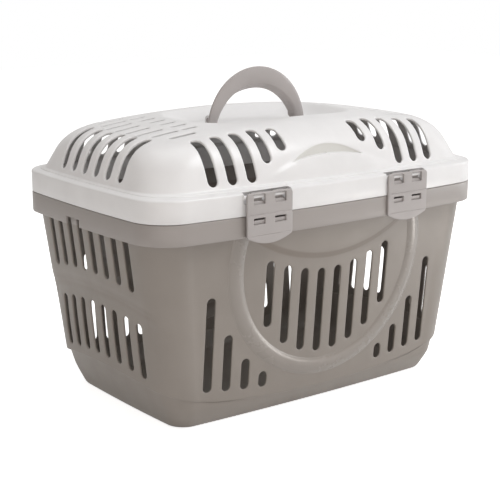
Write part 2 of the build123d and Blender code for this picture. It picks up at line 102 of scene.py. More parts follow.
# Tub walls: half sizes at the floor and how far they lean out per millimetre of height
WALL_LENGTH = 206.9
WALL_WIDTH = 125.3
WALL_LEANS = (0.127, 0.086)
WALL_CORNER = 33.0
WALL_CORNER_GROWTH = 0.051
WALL_BOWS = (11.5, 7.0)

# Foot of the tub under its ledge
FOOT_LENGTH = 187.5
FOOT_WIDTH = 110.0
FOOT_CORNER = 23.0
FOOT_LEANS = (0.45, 0.67)
FOOT_BOWS = (4.6, 2.3)
FOOT_EDGE = 4.0
LEDGE_STEP = 2.4
LEDGE_FRONT = 20.6
LEDGE_FRONT_RISE = 13.5
LEDGE_END = 53.0
LEDGE_END_SAG = 12.0

# Openings of the tub, in pairs about the middle of each wall
SLOT_WIDTH = 10.8
SLOT_PITCH = 23.91
MIDDLE_SLOTS = ((63.2, 161.5), (68.8, 164.8), (81.2, 171.2), (104.3, 179.6))
CORNER_SLOTS = ((34.3, 52.6), (36.1, 72.0), (38.6, 103.4), (41.3, 148.9))
CORNER_SLOT_START = 85.9
END_SLOT_WIDTH = 10.6
END_SLOT_PITCH = 22.6
END_SLOT_ROWS = ((64.2, 126.0), (162.6, 223.0))
END_ARCH_DROP = 7.0

# Decoration of the tub's long walls and the folds of its panels
RING_CENTRE = 174.0
RING_RADIUS = 129.0
RING_BAND = 19.0
BROW_CENTRE = 372.0
BROW_RADIUS = 195.0
BROW_RISE = 3.0
BROW_WIDTH = 6.0
CREASE_FOOT = 164.5
CREASE_LEAN = 0.109
CREASE_DEPTH = 1.2
FOLD_HEIGHT = 143.6
FOLD_SAG = 12.5
FOLD_REACH = 108.0
FOLD_DEPTH = 4.8
FOLD_WIDTH = 12.0

# Dome of the lid
DOME_LENGTH = RIM_LENGTH - 11.5
DOME_WIDTH = RIM_WIDTH - 14.4
DOME_CORNER = 44.0
DOME_BOWS = (12.0, 6.0)
DOME_LEAN = 0.38
DOME_RISE = 62.5
SHOULDERS = (40.0, 60.0)
CROWN_DROPS = (17.0 / 200.0 ** 2, 6.6 / 100.0 ** 2)
LEDGE_SPLIT = 0.66
DOME_FILLET = 1.4

# Openings of the lid, with heights measured up from the foot of the dome
LID_SLOT_WIDTH = 12.0
LID_SLOT_START = 57.8
LID_SLOT_PITCH = 24.2
LID_SLOTS = ((32.3, 53.2), (21.3, 53.3), (3.6, 51.8), (3.5, 50.2), (3.5, 47.9))
LID_END_WIDTH = 10.8
LID_END_SLOT = (5.4, 47.4)
LID_END_PITCH = 23.7
TOP_SLOT_WIDTH = 5.6
TOP_SLOT_PITCH = 21.0
TOP_OUTER = (171.5, 33.0, 18.0)
TOP_INNER = (131.0, 20.0)

# Crescent pressed into the dome's long sides, and the lobe under it
CRESCENT_REACH = 50.0
CRESCENT_TIPS = 19.5
CRESCENT_TOP = 34.5
CRESCENT_UNDER = 24.2
LOBE_RISE = 1.9

# Handle recess
RECESS_LENGTH = 92.0
RECESS_WIDTH = 48.0
RECESS_CORNER = 34.0
RECESS_SLOPE = 1.55
RECESS_FLOOR = pivot_z - 6.5
RECESS_LIP = 4.5

# Handle
HANDLE_RADIUS = 70.6
HANDLE_CENTRE = handle_high.z - HANDLE_RADIUS
GRIP_RADIUS = 60.3
GRIP_CENTRE = HANDLE_CENTRE - 10.1
GRIP_DROP = 5.5
GRIP_GROW = 4.7
HANDLE_PLATE = 2.8
GRIP_FLANGE = 2.6
GRIP_BEVEL = 7.5
CROWN_SLIM = 0.45
CHEEK_ROUND = 5.0
PIN_RADIUS = 3.0

# Ears of the recess, which stand just outside the handle's cheeks
EAR_RADIUS = 5.6
EAR_THICK = 6.0
EAR_HOLE = 3.06
EAR_GAP = 0.7
grip_at_pivot = sqrt(GRIP_RADIUS ** 2 - (pivot_z - GRIP_CENTRE) ** 2)
cheek_outer = grip_at_pivot + GRIP_FLANGE
ear_inner = cheek_outer + EAR_GAP

# Clips, with heights and depths measured from the bar that each one turns on
CLIP_HALF = (latch_high.x - latch_low.x) / 2
CLIP_FRONT = latch_low.y + bar_y
CLIP_THICK = 2.6
CLIP_BACK = CLIP_FRONT + CLIP_THICK
CLIP_TOP = latch_high.z - bar_z - 1.2
CLIP_SAG = 7.4
CLIP_FOOT = latch_low.z - bar_z + CLIP_SAG
CLIP_CORNER = 4.0
CLIP_EDGE = 0.7
CLIP_GROOVES = (-18.6, -41.3)
PRONG_PLACES = (-14.0, 14.0)
WINDOW_WIDTH = 15.2
WINDOWS = ((-8.0, 2.5), (-29.3, -22.6))
HOOK_INNER = 2.28
HOOK_OUTER = 4.18

# Bars of the lid and the pockets that the clips' hooks turn in
BAR_RADIUS = 2.2
POCKET_RADIUS = 6.9
POCKET_SIDE = 0.8


class Outline:
    """Rounded rectangles with bowed sides, one for each entry of the arrays it is given."""

    def __init__(self, length, width, corner, bows):
        parts = np.broadcast_arrays(*(np.asarray(part, float) for part in (length, width, corner, *bows)))
        self.length, self.width, self.corner, self.bow_long, self.bow_end = parts
        self.span_x = self.length - self.bow_end
        self.span_y = self.width - self.bow_long
        touch_x = self.length - self.corner
        touch_y = self.width - self.corner
        for _ in range(12):
            self.tilt = np.arctan(2 * self.bow_long * touch_x / self.span_x ** 2)
            self.tip = np.arctan(2 * self.bow_end * touch_y / self.span_y ** 2)
            self.centre_x = self.side_x(touch_y) - self.corner * np.cos(self.tip)
            self.centre_y = self.side_y(touch_x) - self.corner * np.cos(self.tilt)
            touch_x = self.centre_x + self.corner * np.sin(self.tilt)
            touch_y = self.centre_y + self.corner * np.sin(self.tip)
        self.touch_x = touch_x
        self.touch_y = touch_y

    def side_y(self, x):
        """Distance of the long side from the middle, at x."""
        return self.width - self.bow_long * (x / self.span_x) ** 2

    def side_x(self, y):
        """Distance of the end from the middle, at y."""
        return self.length - self.bow_end * (y / self.span_y) ** 2

    def point(self, s):
        """Front right quarter: s is 0 to 1 along the front, to 2 round the corner, to 3 along the end."""
        front_x = np.clip(s, 0, 1) * self.touch_x
        end_y = np.clip(3 - s, 0, 1) * self.touch_y
        turn = self.tilt + np.clip(s - 1, 0, 1) * (pi / 2 - self.tip - self.tilt)
        corner_x = self.centre_x + self.corner * np.sin(turn)
        corner_y = self.centre_y + self.corner * np.cos(turn)
        x = np.where(s <= 1, front_x, np.where(s >= 2, self.side_x(end_y), corner_x))
        y = np.where(s <= 1, self.side_y(front_x), np.where(s >= 2, end_y, corner_y))
        return x, -y

    def locate(self, x, y):
        """The s of points on the outline's front right quarter."""
        y = np.abs(y)
        turn = np.arctan2(x - self.centre_x, y - self.centre_y)
        past_front = (x - self.centre_x) * np.cos(self.tilt) > (y - self.centre_y) * np.sin(self.tilt)
        past_end = (y - self.centre_y) * np.cos(self.tip) > (x - self.centre_x) * np.sin(self.tip)
        near_front = self.side_y(x) - y < self.side_x(y) - x
        corner = 1 + (turn - self.tilt) / (pi / 2 - self.tip - self.tilt)
        side = np.where(near_front, np.clip(x / self.touch_x, 0, 1), 3 - np.clip(y / self.touch_y, 0, 1))
        return np.where(past_front & past_end, np.clip(corner, 1, 2), side)

    def outside(self, x, y):
        """How far points are outside the outline, negative inside."""
        x = np.abs(x)
        y = np.abs(y)
        right = x - self.centre_x
        ahead = y - self.centre_y
        past_front = right * np.cos(self.tilt) > ahead * np.sin(self.tilt)
        past_end = ahead * np.cos(self.tip) > right * np.sin(self.tip)
        sides = np.maximum(y - self.side_y(x), x - self.side_x(y))
        return np.where(past_front & past_end, np.hypot(right, ahead) - self.corner, sides)


def rim(inset):
    """The rim's outline, moved inwards."""
    return Outline(RIM_LENGTH - inset, RIM_WIDTH - inset, RIM_CORNER - inset, RIM_BOWS)


def wall(inset, z):
    """The tub wall's outline at a height, moved inwards."""
    return Outline(WALL_LENGTH + WALL_LEANS[0] * z - inset, WALL_WIDTH + WALL_LEANS[1] * z - inset,
                   WALL_CORNER + WALL_CORNER_GROWTH * z - inset, WALL_BOWS)


def row(outline, s, z):
    """Points along an outline at a height."""
    x, y = outline.point(s)
    return np.stack([x, y, z + 0 * x], 1)


def soft_step(value, width):
    """0 below zero and 1 above it, turning over a width."""
    return 1 / (1 + np.exp(-np.clip(4 * value / width, -40, 40)))


def soft_min(a, b, width):
    return -width * np.logaddexp(-a / width, -b / width)


def sizes():
    return bpy.context.scene.pet_carrier


class Surface:
    """A surface over s, the way round, and v, the way up, with an outline at each v."""

    def height(self, v):
        return v

    def level(self, z):
        return z

    def relief(self, points):
        """How far the surface's decoration stands proud."""
        return np.zeros(len(points))

    def base(self, q):
        outline = self.outline(q[:, 1])
        return row(outline, q[:, 0], self.height(q[:, 1]))

    def normal(self, q):
        step = np.array([1e-3, 0])
        rise = np.array([0, 0.05])
        ahead = np.minimum(q + step, [3, 1e9])
        behind = np.maximum(q - step, [0, -1e9])
        along = self.base(ahead) - self.base(behind)
        up = self.base(q + rise) - self.base(q - rise)
        across = np.cross(along, up)
        return across / np.linalg.norm(across, axis=1, keepdims=True)

    def place(self, q, depth=0.0):
        """Points on the surface with its decoration, sunk by a depth."""
        points = self.base(q)
        return points + self.normal(q) * (self.relief(points) - depth)[:, None]

    def flat(self, q):
        """The surface unrolled, roughly to scale, for its triangles."""
        return np.stack([np.interp(q[:, 0], [0, 1, 2, 3], self.unrolled), q[:, 1]], 1)

    def meet(self, origins, direction, low, high):
        """Where lines from inside the surface cross it."""
        low = np.full(len(origins), float(low))
        high = np.full(len(origins), float(high))
        for _ in range(44):
            middle = (low + high) / 2
            points = origins + middle[:, None] * direction
            beyond = self.outline(self.level(points[:, 2])).outside(points[:, 0], points[:, 1]) > 0
            high = np.where(beyond, middle, high)
            low = np.where(beyond, low, middle)
        points = origins + low[:, None] * direction
        v = self.level(points[:, 2])
        return np.stack([self.outline(v).locate(points[:, 0], points[:, 1]), v], 1)


class TubWall(Surface):
    """The tub's leaning wall with its raised ring and the soft folds of its panels."""

    unrolled = (0.0, 172.0, 238.0, 320.0)

    def outline(self, v):
        return wall(0.0, v)

    def relief(self, points):
        x, y, z = np.abs(points.T)
        front = np.clip((y - (WALL_WIDTH - 10)) / 6, 0, 1) * np.clip((196 - x) / 14, 0, 1)
        ring = 1 - ((np.hypot(x, z - RING_CENTRE) - RING_RADIUS) / (RING_BAND / 2)) ** 2
        raised = np.clip(ring, 0, 1) * sizes().ring_rise / MM
        brow = BROW_CENTRE - np.sqrt(np.maximum(BROW_RADIUS ** 2 - x ** 2, 1))
        raised = raised + soft_step(z - brow, BROW_WIDTH) * BROW_RISE * np.clip((150 - x) / 14, 0, 1)
        raised = raised - soft_step(CREASE_FOOT + CREASE_LEAN * z - x, 3.0) * CREASE_DEPTH
        end = np.clip((112 - y) / 12, 0, 1) * np.clip((x - (WALL_LENGTH - 14)) / 6, 0, 1)
        fold = FOLD_HEIGHT - FOLD_SAG * (y / FOLD_REACH) ** 2
        below = soft_step(fold - z, FOLD_WIDTH) * np.exp(-np.clip(fold - z, 0, 200) / 30)
        above = soft_step(z - fold, FOLD_WIDTH) * np.exp(-np.clip(z - fold, 0, 200) / 24)
        return front * raised + end * (0.8 * above - FOLD_DEPTH * below)


def shoulder(half, radius, top, drop):
    """The rise at which a side of the dome leaves its leaning wall, and how far it turns."""
    lean = np.arctan(DOME_LEAN)
    start = 0.3 * top
    turn = radians(80)
    for _ in range(40):
        reach = half - DOME_LEAN * start - radius * (cos(lean) - cos(turn))
        turn = pi / 2 - np.arctan(2 * drop * reach)
        start = top - drop * reach ** 2 - radius * (sin(turn) - sin(lean))
    return start, turn


def dome_reach(rise, half, radius, drop):
    """Half the dome's length or width at a rise: leaning wall, round shoulder, crown."""
    lean = np.arctan(DOME_LEAN)
    start, turn = shoulder(half, radius, DOME_RISE, drop)
    end = start + radius * (sin(turn) - sin(lean))
    angle = np.arcsin(np.clip(sin(lean) + (rise - start) / radius, -1, 1))
    curve = half - DOME_LEAN * start - radius * (cos(lean) - np.cos(angle))
    crown = np.sqrt(np.maximum(DOME_RISE - rise, 0.4) / drop)
    return np.where(rise <= start, half - DOME_LEAN * rise, np.where(rise >= end, crown, curve))


class Dome(Surface):
    """The lid's dome. Its v is the length of the profile up the long side."""

    unrolled = (0.0, 150.0, 225.0, 300.0)

    def __init__(self):
        rises = np.concatenate([np.linspace(-8, 56, 400), np.linspace(56.1, DOME_RISE - 0.5, 400)])
        reach = dome_reach(rises, DOME_WIDTH, SHOULDERS[1], CROWN_DROPS[1])
        lengths = np.cumsum(np.hypot(np.diff(rises, prepend=-8), np.diff(reach, prepend=reach[0])))
        self.rises = rises
        self.lengths = lengths - np.interp(0.0, rises, lengths)

    def rise(self, v):
        return np.interp(v, self.lengths, self.rises)

    def height(self, v):
        return DOME_FOOT + self.rise(v)

    def level(self, z):
        return np.interp(z - DOME_FOOT, self.rises, self.lengths)

    def outline(self, v):
        rise = self.rise(v)
        length = dome_reach(rise, DOME_LENGTH, SHOULDERS[0], CROWN_DROPS[0])
        width = dome_reach(rise, DOME_WIDTH, SHOULDERS[1], CROWN_DROPS[1])
        blend = np.clip((rise - 0.6 * DOME_RISE) / (0.36 * DOME_RISE), 0, 1) ** 2
        bows = (DOME_BOWS[0] + 12 * blend, DOME_BOWS[1] + 18 * blend)
        corner = np.minimum(DOME_CORNER + 0.3 * np.maximum(rise, 0), 0.8 * (width - bows[0]))
        return Outline(length, width, corner, bows)

    def relief(self, points):
        x, y, z = np.abs(points.T)
        rise = z - DOME_FOOT
        front = np.clip((y - 90) / 10, 0, 1)
        across = (x / CRESCENT_REACH) ** 2
        upper = CRESCENT_TIPS + (CRESCENT_TOP - CRESCENT_TIPS) * (1 - across)
        under = CRESCENT_TIPS + (CRESCENT_UNDER - CRESCENT_TIPS) * (1 - across)
        inside = soft_step(upper - rise, 0.8) * soft_step(rise - under, 0.8) * (x < CRESCENT_REACH + 1)
        sunk = 0.35 + 0.65 * np.clip((upper - rise) / np.maximum(upper - under, 1), 0, 1)
        lobe = under - 4.6 * np.clip((x - 46) / 38, 0, 2)
        faded = np.clip((96 - x) / 34, 0, 1) * np.clip(rise / 9, 0, 1)
        raised = LOBE_RISE * soft_step(lobe - rise, 3.2) * faded
        return front * (raised - sizes().crescent_depth / MM * inside * sunk)


def bend(start, corner, end, t):
    """A place on the curve that leaves start towards corner and comes to end from it."""
    return (1 - t) ** 2 * start + 2 * t * (1 - t) * corner + t * t * end


def stadium(length, width):
    """A round-ended slot about the origin, long way up, as a closed ring of points."""
    half = (length - width) / 2
    turn = np.linspace(0, pi, 11)
    cap = np.stack([np.cos(turn), np.sin(turn)], 1) * width / 2
    steps = max(int(length / 7.0), 1)
    side = np.linspace(half, -half, steps + 1)[1:-1]
    left = np.stack([np.full(len(side), -width / 2), side], 1)
    return np.concatenate([cap + [0, half], left, -cap - [0, half], -left])


def both_rings(length, width, edge):
    """A slot's ring, and the ring round it where the wall's surface begins to turn in."""
    ring = stadium(length, width)
    half = max((length - width) / 2, 1e-6)
    core = np.stack([np.zeros(len(ring)), np.clip(ring[:, 1], -half, half)], 1)
    return ring, core + (ring - core) * (width / 2 + edge) / (width / 2)


def slot_rings(surface, middle, across, along, out, size, reach):
    """Throws a flat slot's two rings out on to a surface. Size is length, width and edge."""
    rings = []
    for ring in both_rings(*size):
        origins = middle + ring[:, :1] * across + ring[:, 1:] * along
        rings.append(surface.meet(origins, out, *reach))
    return rings


def points_inside(points, polygon):
    """Which points lie inside a closed polygon."""
    x, y = points[:, 0:1], points[:, 1:2]
    ax, ay = polygon[:, 0], polygon[:, 1]
    bx, by = np.roll(ax, -1), np.roll(ay, -1)
    span = (ay > y) != (by > y)
    cross = (bx - ax) * (y - ay) / np.where(by == ay, 1e-12, by - ay) + ax
    return (np.sum(span & (x < cross), 1) % 2).astype(bool)


class Mesher:
    """Collects points and faces in millimetres and writes them out as one mesh."""

    def __init__(self):
        self.points = []
        self.faces = []
        self.count = 0

    def add(self, points):
        start = self.count
        self.points.append(np.asarray(points, float))
        self.count += len(points)
        return np.arange(start, self.count)

    def strip(self, a, b, closed=False):
        """Quads between two rows of the same length."""
        if closed:
            a = np.append(a, a[0])
            b = np.append(b, b[0])
        self.faces += np.stack([a[:-1], a[1:], b[1:], b[:-1]], 1).tolist()

    def strips(self, rows, closed=False):
        for a, b in zip(rows, rows[1:]):
            self.strip(a, b, closed)

    def cap(self, ring):
        self.faces.append(list(ring))

    def levels(self, s, plan):
        """Adds a row for each outline and height of a plan."""
        return [self.add(row(outline, s, z)) for outline, z in plan]

    def closing(self, base, shares):
        """Adds smaller and smaller copies of a level row, down to its middle."""
        return [self.add(base * [share, share, 1]) for share in shares]

    def triangles(self, surface, q, loops, border):
        """Triangulates a region, given its points and the closed loops of edges in it."""
        flat = surface.flat(q)
        edges = []
        for loop in loops + [border]:
            edges += np.stack([loop, np.roll(loop, -1)], 1).tolist()
        found = delaunay_2d_cdt([Vector(point) for point in flat], edges, [], 0, 1e-5)
        origin = [source[0] if source else -1 for source in found[3]]
        corners = np.array([[origin[i] for i in face] for face in found[2]])
        corners = corners[(corners >= 0).all(1)]
        centres = flat[corners].mean(1)
        keep = points_inside(centres, flat[border])
        for loop in loops:
            keep &= ~points_inside(centres, flat[loop])
        return corners[keep]

    def turned_edge(self, outer, edge, normal, depth, radius, inner, start, end):
        """The side wall of an opening, rounded where it meets both faces."""
        sunk = edge - normal * radius
        floor = edge - normal * depth
        low = edge - normal * (depth - min(radius, 0.3 * depth))
        rows = [start]
        rows += [self.add(bend(outer, edge, sunk, t)) for t in (0.3, 0.65, 1.0)]
        rows += [self.add(bend(low, floor, inner, t)) for t in (0.0, 0.5)]
        rows.append(end)
        self.strips(rows, closed=True)

    def shell(self, surface, q, openings, border, depth, radius, rounded_border=None):
        """A wall of even thickness with rounded openings. Returns both faces' point numbers."""
        rings = []
        for edge, lip in openings:
            rings.append(np.arange(len(q), len(q) + len(lip)))
            q = np.concatenate([q, lip])
        faces = self.triangles(surface, q, rings, border)
        top = surface.place(q)
        bottom = surface.place(q, depth)
        outer = self.add(top)
        inner = self.add(bottom)
        self.faces += outer[faces].tolist()
        self.faces += inner[faces[:, ::-1]].tolist()
        sides = [(ring, edge) for ring, (edge, lip) in zip(rings, openings)]
        if rounded_border is not None:
            sides.append((border, rounded_border))
        for ring, edge in sides:
            self.turned_edge(top[ring], surface.place(edge), surface.normal(edge), depth, radius,
                             bottom[ring], outer[ring], inner[ring])
        return outer, inner

    def object(self, name, mirror=""):
        """The mesh as an object, with mirrored copies joined along their seams."""
        points = np.concatenate(self.points) * MM
        faces = [list(face) for face in self.faces]
        for axis in mirror:
            turned = points.copy()
            turned[:, "XYZ".index(axis)] *= -1
            faces += [[i + len(points) for i in reversed(face)] for face in faces]
            points = np.concatenate([points, turned])
        mesh = bpy.data.meshes.new(name)
        mesh.from_pydata(points.tolist(), [], faces)
        work = bmesh.new()
        work.from_mesh(mesh)
        bmesh.ops.remove_doubles(work, verts=work.verts, dist=0.00001)
        bmesh.ops.dissolve_degenerate(work, edges=work.edges, dist=0.000001)
        bmesh.ops.recalc_face_normals(work, faces=work.faces)
        work.to_mesh(mesh)
        work.free()
        mesh.shade_smooth()
        piece = bpy.data.objects.new(name, mesh)
        bpy.context.collection.objects.link(piece)
        return piece


def spread(*stops):
    """Numbers along a line: each stop after the first is (end, number of steps)."""
    values = [stops[0]]
    for end, steps in stops[1:]:
        values += list(np.linspace(values[-1], end, steps + 1)[1:])
    return np.array(values)


def grid(s_values, v_values, low, high):
    """Inner points of a region, kept clear of its lower and upper edges."""
    s, v = np.meshgrid(s_values[1:-1], v_values)
    s, v = s.ravel(), v.ravel()
    keep = (v > low(s)) & (v < high(s))
    return np.stack([s[keep], v[keep]], 1)


def clear_of(surface, q, rings, gap):
    """Drops points that are in an opening or close to its ring."""
    flat = surface.flat(q)
    keep = np.ones(len(q), bool)
    for ring in rings:
        edge = surface.flat(ring)
        middle = edge.mean(0)
        reach = np.abs(edge - middle).max(0) + gap
        near = (np.abs(flat - middle) < reach).all(1)
        distance = np.sqrt(((flat[near][:, None] - edge[None]) ** 2).sum(2)).min(1)
        drop = points_inside(flat[near], edge) | (distance < gap)
        keep[np.where(near)[0][drop]] = False
    return q[keep]


def thinned(surface, q, anchors, gap):
    """Drops points of a grid that are close to the anchors."""
    flat = surface.flat(q)
    fixed = surface.flat(anchors)
    keep = np.ones(len(q), bool)
    for start in range(0, len(flat), 1500):
        part = flat[start:start + 1500]
        near = ((part[:, None] - fixed[None]) ** 2).sum(2).min(1)
        keep[start:start + 1500] = near > gap ** 2
    return q[keep]


def border_of(s_values, v_values, bottom, top):
    """A quarter wall's closed border, and the number of its point where the top row starts."""
    def column(s, low, high):
        v = v_values[(v_values > low + 1) & (v_values < high - 1)]
        return np.stack([np.full(len(v), s), v], 1)

    low = np.stack([s_values, bottom], 1)
    right = column(3.0, bottom[-1], top[-1, 1])
    left = column(0.0, bottom[0], top[0, 1])[::-1]
    return np.concatenate([low, right, top[::-1], left]), len(low) + len(right)


def pierced_wall(mesher, surface, loop, fill, marks, openings, gaps, depth, edge):
    """Meshes a wall with its openings, from its border, a grid and its decoration's points."""
    lips = [lip for _, lip in openings]
    marks = clear_of(surface, marks, lips, 1.6)
    fill = thinned(surface, clear_of(surface, fill, lips, gaps[0]), marks, gaps[1])
    q = np.concatenate([loop, fill, marks])
    return mesher.shell(surface, q, openings, np.arange(len(loop)), depth, edge * 0.8)


# Places round the rim at which the skirt and the band have their points
RIM_PLACES = spread(0.0, (1.0, 34), (2.0, 16), (3.0, 18))


def clip_places():
    """The middle of each clip along X, and which side of the carrier it is on."""
    return [(x, side) for x in (-clip_x, clip_x) for side in (-1, 1)]


def object_from(pieces, name):
    """Joins objects into one new piece."""
    work = bmesh.new()
    for piece in pieces:
        work.from_mesh(piece.data)
        bpy.data.objects.remove(piece)
    mesh = bpy.data.meshes.new(name)
    work.to_mesh(mesh)
    work.free()
    piece = bpy.data.objects.new(name, mesh)
    bpy.context.collection.objects.link(piece)
    return piece


def cut(piece, cutters, operation="DIFFERENCE"):
    """Applies one boolean for each cutter and removes the cutters."""
    for cutter in cutters:
        step = piece.modifiers.new("cut", "BOOLEAN")
        step.operation = operation
        step.solver = "EXACT"
        step.object = cutter
    evaluated = piece.evaluated_get(bpy.context.evaluated_depsgraph_get())
    mesh = bpy.data.meshes.new_from_object(evaluated)
    piece.modifiers.clear()
    piece.data = mesh
    for cutter in cutters:
        bpy.data.objects.remove(cutter)


def block(low, high):
    """A box between two corners in millimetres, as a cutter."""
    mesher = Mesher()
    (x0, y0, z0), (x1, y1, z1) = low, high
    base = mesher.add([(x0, y0, z0), (x1, y0, z0), (x1, y1, z0), (x0, y1, z0)])
    roof = mesher.add([(x0, y0, z1), (x1, y0, z1), (x1, y1, z1), (x0, y1, z1)])
    mesher.strip(base, roof, closed=True)
    mesher.cap(base)
    mesher.cap(roof)
    return mesher.object("cutter")


def prism_x(profile, x0, x1):
    """A closed YZ profile carried along X, in millimetres."""
    mesher = Mesher()
    profile = np.asarray(profile, float)
    ends = [mesher.add(np.insert(profile, 0, x, 1)) for x in (x0, x1)]
    mesher.strip(*ends, closed=True)
    for ring in ends:
        mesher.cap(ring)
    return mesher.object("cutter")


def circle(y, z, radius, count):
    turn = np.linspace(0, 2 * pi, count, endpoint=False)
    return np.stack([y + radius * np.cos(turn), z + radius * np.sin(turn)], 1)


def finish_piece(piece, material, body, nodes, sharp=32):
    """Gives a piece its material and shading and hands it to the frame."""
    piece.data.materials.clear()
    piece.data.materials.append(material)
    piece.data.polygons.foreach_set("material_index", [0] * len(piece.data.polygons))
    piece.data.shade_smooth()
    piece.data.set_sharp_from_angle(angle=radians(sharp))
    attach(piece, body)
    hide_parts(*nodes)


class Wire:
    """A node's socket that takes part in Python expressions."""

    def __init__(self, nodes, socket):
        self.nodes = nodes
        self.socket = socket

    def maths(self, operation, *values):
        return self.nodes.node("ShaderNodeMath", {"operation": operation}, values)

    def __add__(self, other):
        return self.maths("ADD", self, other)

    def __sub__(self, other):
        return self.maths("SUBTRACT", self, other)

    def __rsub__(self, other):
        return self.maths("SUBTRACT", other, self)

    def __mul__(self, other):
        return self.maths("MULTIPLY", self, other)

    def __pow__(self, other):
        return self.maths("POWER", self, other)

    def __abs__(self):
        return self.maths("ABSOLUTE", self)

    __radd__ = __add__
    __rmul__ = __mul__


class Nodes:
    """The nodes of a material, a world or a node group, all made from one method."""

    def __init__(self, owner):
        self.owner = owner
        self.tree = owner
        if not isinstance(owner, bpy.types.NodeTree):
            owner.use_nodes = True
            self.tree = owner.node_tree
        self.tree.nodes.clear()

    def node(self, kind, settings=None, inputs=None, output=0):
        """Makes a node. Inputs is a list by position or a dictionary by name."""
        node = self.tree.nodes.new(kind)
        for key, value in (settings or {}).items():
            setattr(node, key, value)
        pairs = inputs.items() if isinstance(inputs, dict) else enumerate(inputs or [])
        for key, value in pairs:
            if isinstance(value, Wire):
                self.tree.links.new(value.socket, node.inputs[key])
            else:
                node.inputs[key].default_value = value
        return Wire(self, node.outputs[output]) if node.outputs else node

    def outputs(self, kind, names, inputs=None):
        """Makes a node of which more than one output is used."""
        found = self.node(kind, None, inputs).socket.node.outputs
        return [Wire(self, found[name]) for name in names]

    def place(self):
        return self.node("ShaderNodeTexCoord", output="Object")

    def axes(self):
        """The place on the piece as three separate values, in metres."""
        return self.outputs("ShaderNodeSeparateXYZ", "XYZ", {"Vector": self.place()})

    def noise(self, scale, detail, roughness):
        return self.node("ShaderNodeTexNoise", None, {
            "Vector": self.place(), "Scale": scale, "Detail": detail, "Roughness": roughness})

    def between(self, value, low, high):
        """0 at low, 1 at high and a straight rise between them."""
        return self.node("ShaderNodeMapRange", None, [value, low, high])

    def mix(self, factor, a, b):
        return self.node("ShaderNodeMix", {"data_type": "RGBA"}, {0: factor, 6: a, 7: b}, 2)

    def finish(self, **values):
        names = {key.replace("_", " "): value for key, value in values.items()}
        surface = self.node("ShaderNodeBsdfPrincipled", None, names)
        self.node("ShaderNodeOutputMaterial", None, {"Surface": surface})
        return self.owner


def linear(colour, factor=1.0):
    """A colour with its brightness changed, as a node's RGBA value."""
    return (*(min(channel * factor, 1.0) for channel in colour[:3]), 1.0)


def off_circle(x, z, centre, radius):
    """How far a place on a long wall is from a circle, in metres."""
    rise = z - centre * MM
    return abs((x * x + rise * rise) ** 0.5 - radius * MM)


def ring_mask(shader):
    """1 on the polished ring of the tub's long walls, 0 elsewhere."""
    x, y, z = shader.axes()
    off = off_circle(x, z, RING_CENTRE, RING_RADIUS)
    ring = shader.between(off, RING_BAND * 0.56 * MM, RING_BAND * 0.44 * MM)
    return ring * shader.between(abs(y), 0.09, 0.1)


def brow_and_fold_shade_mask(shader):
    """Painted shade: the brow's step and the fold across each end, painted a darker, warmer tone where they
    face down.
    """
    x, y, z = shader.axes()
    off = off_circle(x, z, BROW_CENTRE, BROW_RADIUS)
    brow = shader.between(off, BROW_WIDTH * 0.7 * MM, BROW_WIDTH * 0.4 * MM)
    brow = brow * shader.between(abs(y), 0.12, 0.13)
    across = y * (1 / (FOLD_REACH * MM))
    height = abs(z + across * across * (FOLD_SAG * MM) - FOLD_HEIGHT * MM)
    fold = shader.between(height, FOLD_WIDTH * 0.75 * MM, FOLD_WIDTH * 0.3 * MM)
    fold = fold * shader.between(abs(x), 0.2, 0.21) * shader.between(abs(y), 0.112, 0.098)
    return brow + fold * 0.8


def crescent_shade_mask(shader):
    """Painted shade: 1 on the floor of the crescent in the dome's long sides, painted grey for the shade in
    the recess, 0 elsewhere.
    """
    x, y, z = shader.axes()
    rise = z - (DOME_FOOT + CRESCENT_TIPS) * MM
    arch = 1 - (x * (1 / (CRESCENT_REACH * MM))) ** 2
    under_top = shader.between(arch * ((CRESCENT_TOP - CRESCENT_TIPS) * MM) - rise, 0.0, 0.0008)
    over_foot = shader.between(rise - arch * ((CRESCENT_UNDER - CRESCENT_TIPS) * MM), 0.0, 0.0008)
    return under_top * over_foot * shader.between(abs(y), 0.08, 0.09)


def skirt_painted_light_mask(shader):
    """Painted light: 1 on the tub's rim and skirt, which are painted lighter than the leaning wall for the
    light they catch, 0 below them.
    """
    x, y, z = shader.axes()
    return shader.between(z, (RIM_TOP - SKIRT_DROP - 1.0) * MM, (RIM_TOP - SKIRT_DROP - 0.4) * MM)


def moulded_plastic(name, colour, grain, gloss, polished=None, painted_light_and_shade=()):
    """Injection-moulded plastic: faint flow marks, a fine eroded texture and handling polish, with masked
    bands of painted light and shade.
    """
    shader = Nodes(bpy.data.materials.new(name))
    flow = shader.noise(9.0, 3.0, 0.55)
    cloud = shader.noise(34.0, 4.0, 0.6)
    speck = shader.noise(2600.0, 1.0, 0.5)
    fine = shader.noise(grain, 2.0, 0.5)
    waves = shader.noise(26.0, 2.0, 0.4)
    tone = shader.between(flow * 0.7 + cloud * 0.3, 0.36, 0.64)
    tint = shader.mix(tone, linear(colour, 0.95), linear(colour, 1.035))
    # Painted light and shade: each mask lays another colour over the plastic's tint, standing in for light or
    # shade that falls there.
    for mask, other in painted_light_and_shade:
        tint = shader.mix(mask(shader), tint, linear(other))
    worn = shader.between(cloud, 0.38, 0.66)
    roughness = worn * -0.07 + (gloss + 0.035) + speck * 0.03
    bump = shader.node("ShaderNodeBump", None,
                       {"Strength": 0.35, "Distance": 0.00006, "Height": fine + waves * 2})
    coat = 0.0
    if polished:
        coat = polished(shader)
        roughness = roughness - coat * 0.14
        coat = coat * 0.5
    return shader.finish(Base_Color=tint, Roughness=roughness, Normal=bump, IOR=1.49, Coat_Weight=coat,
                         Coat_Roughness=0.2)


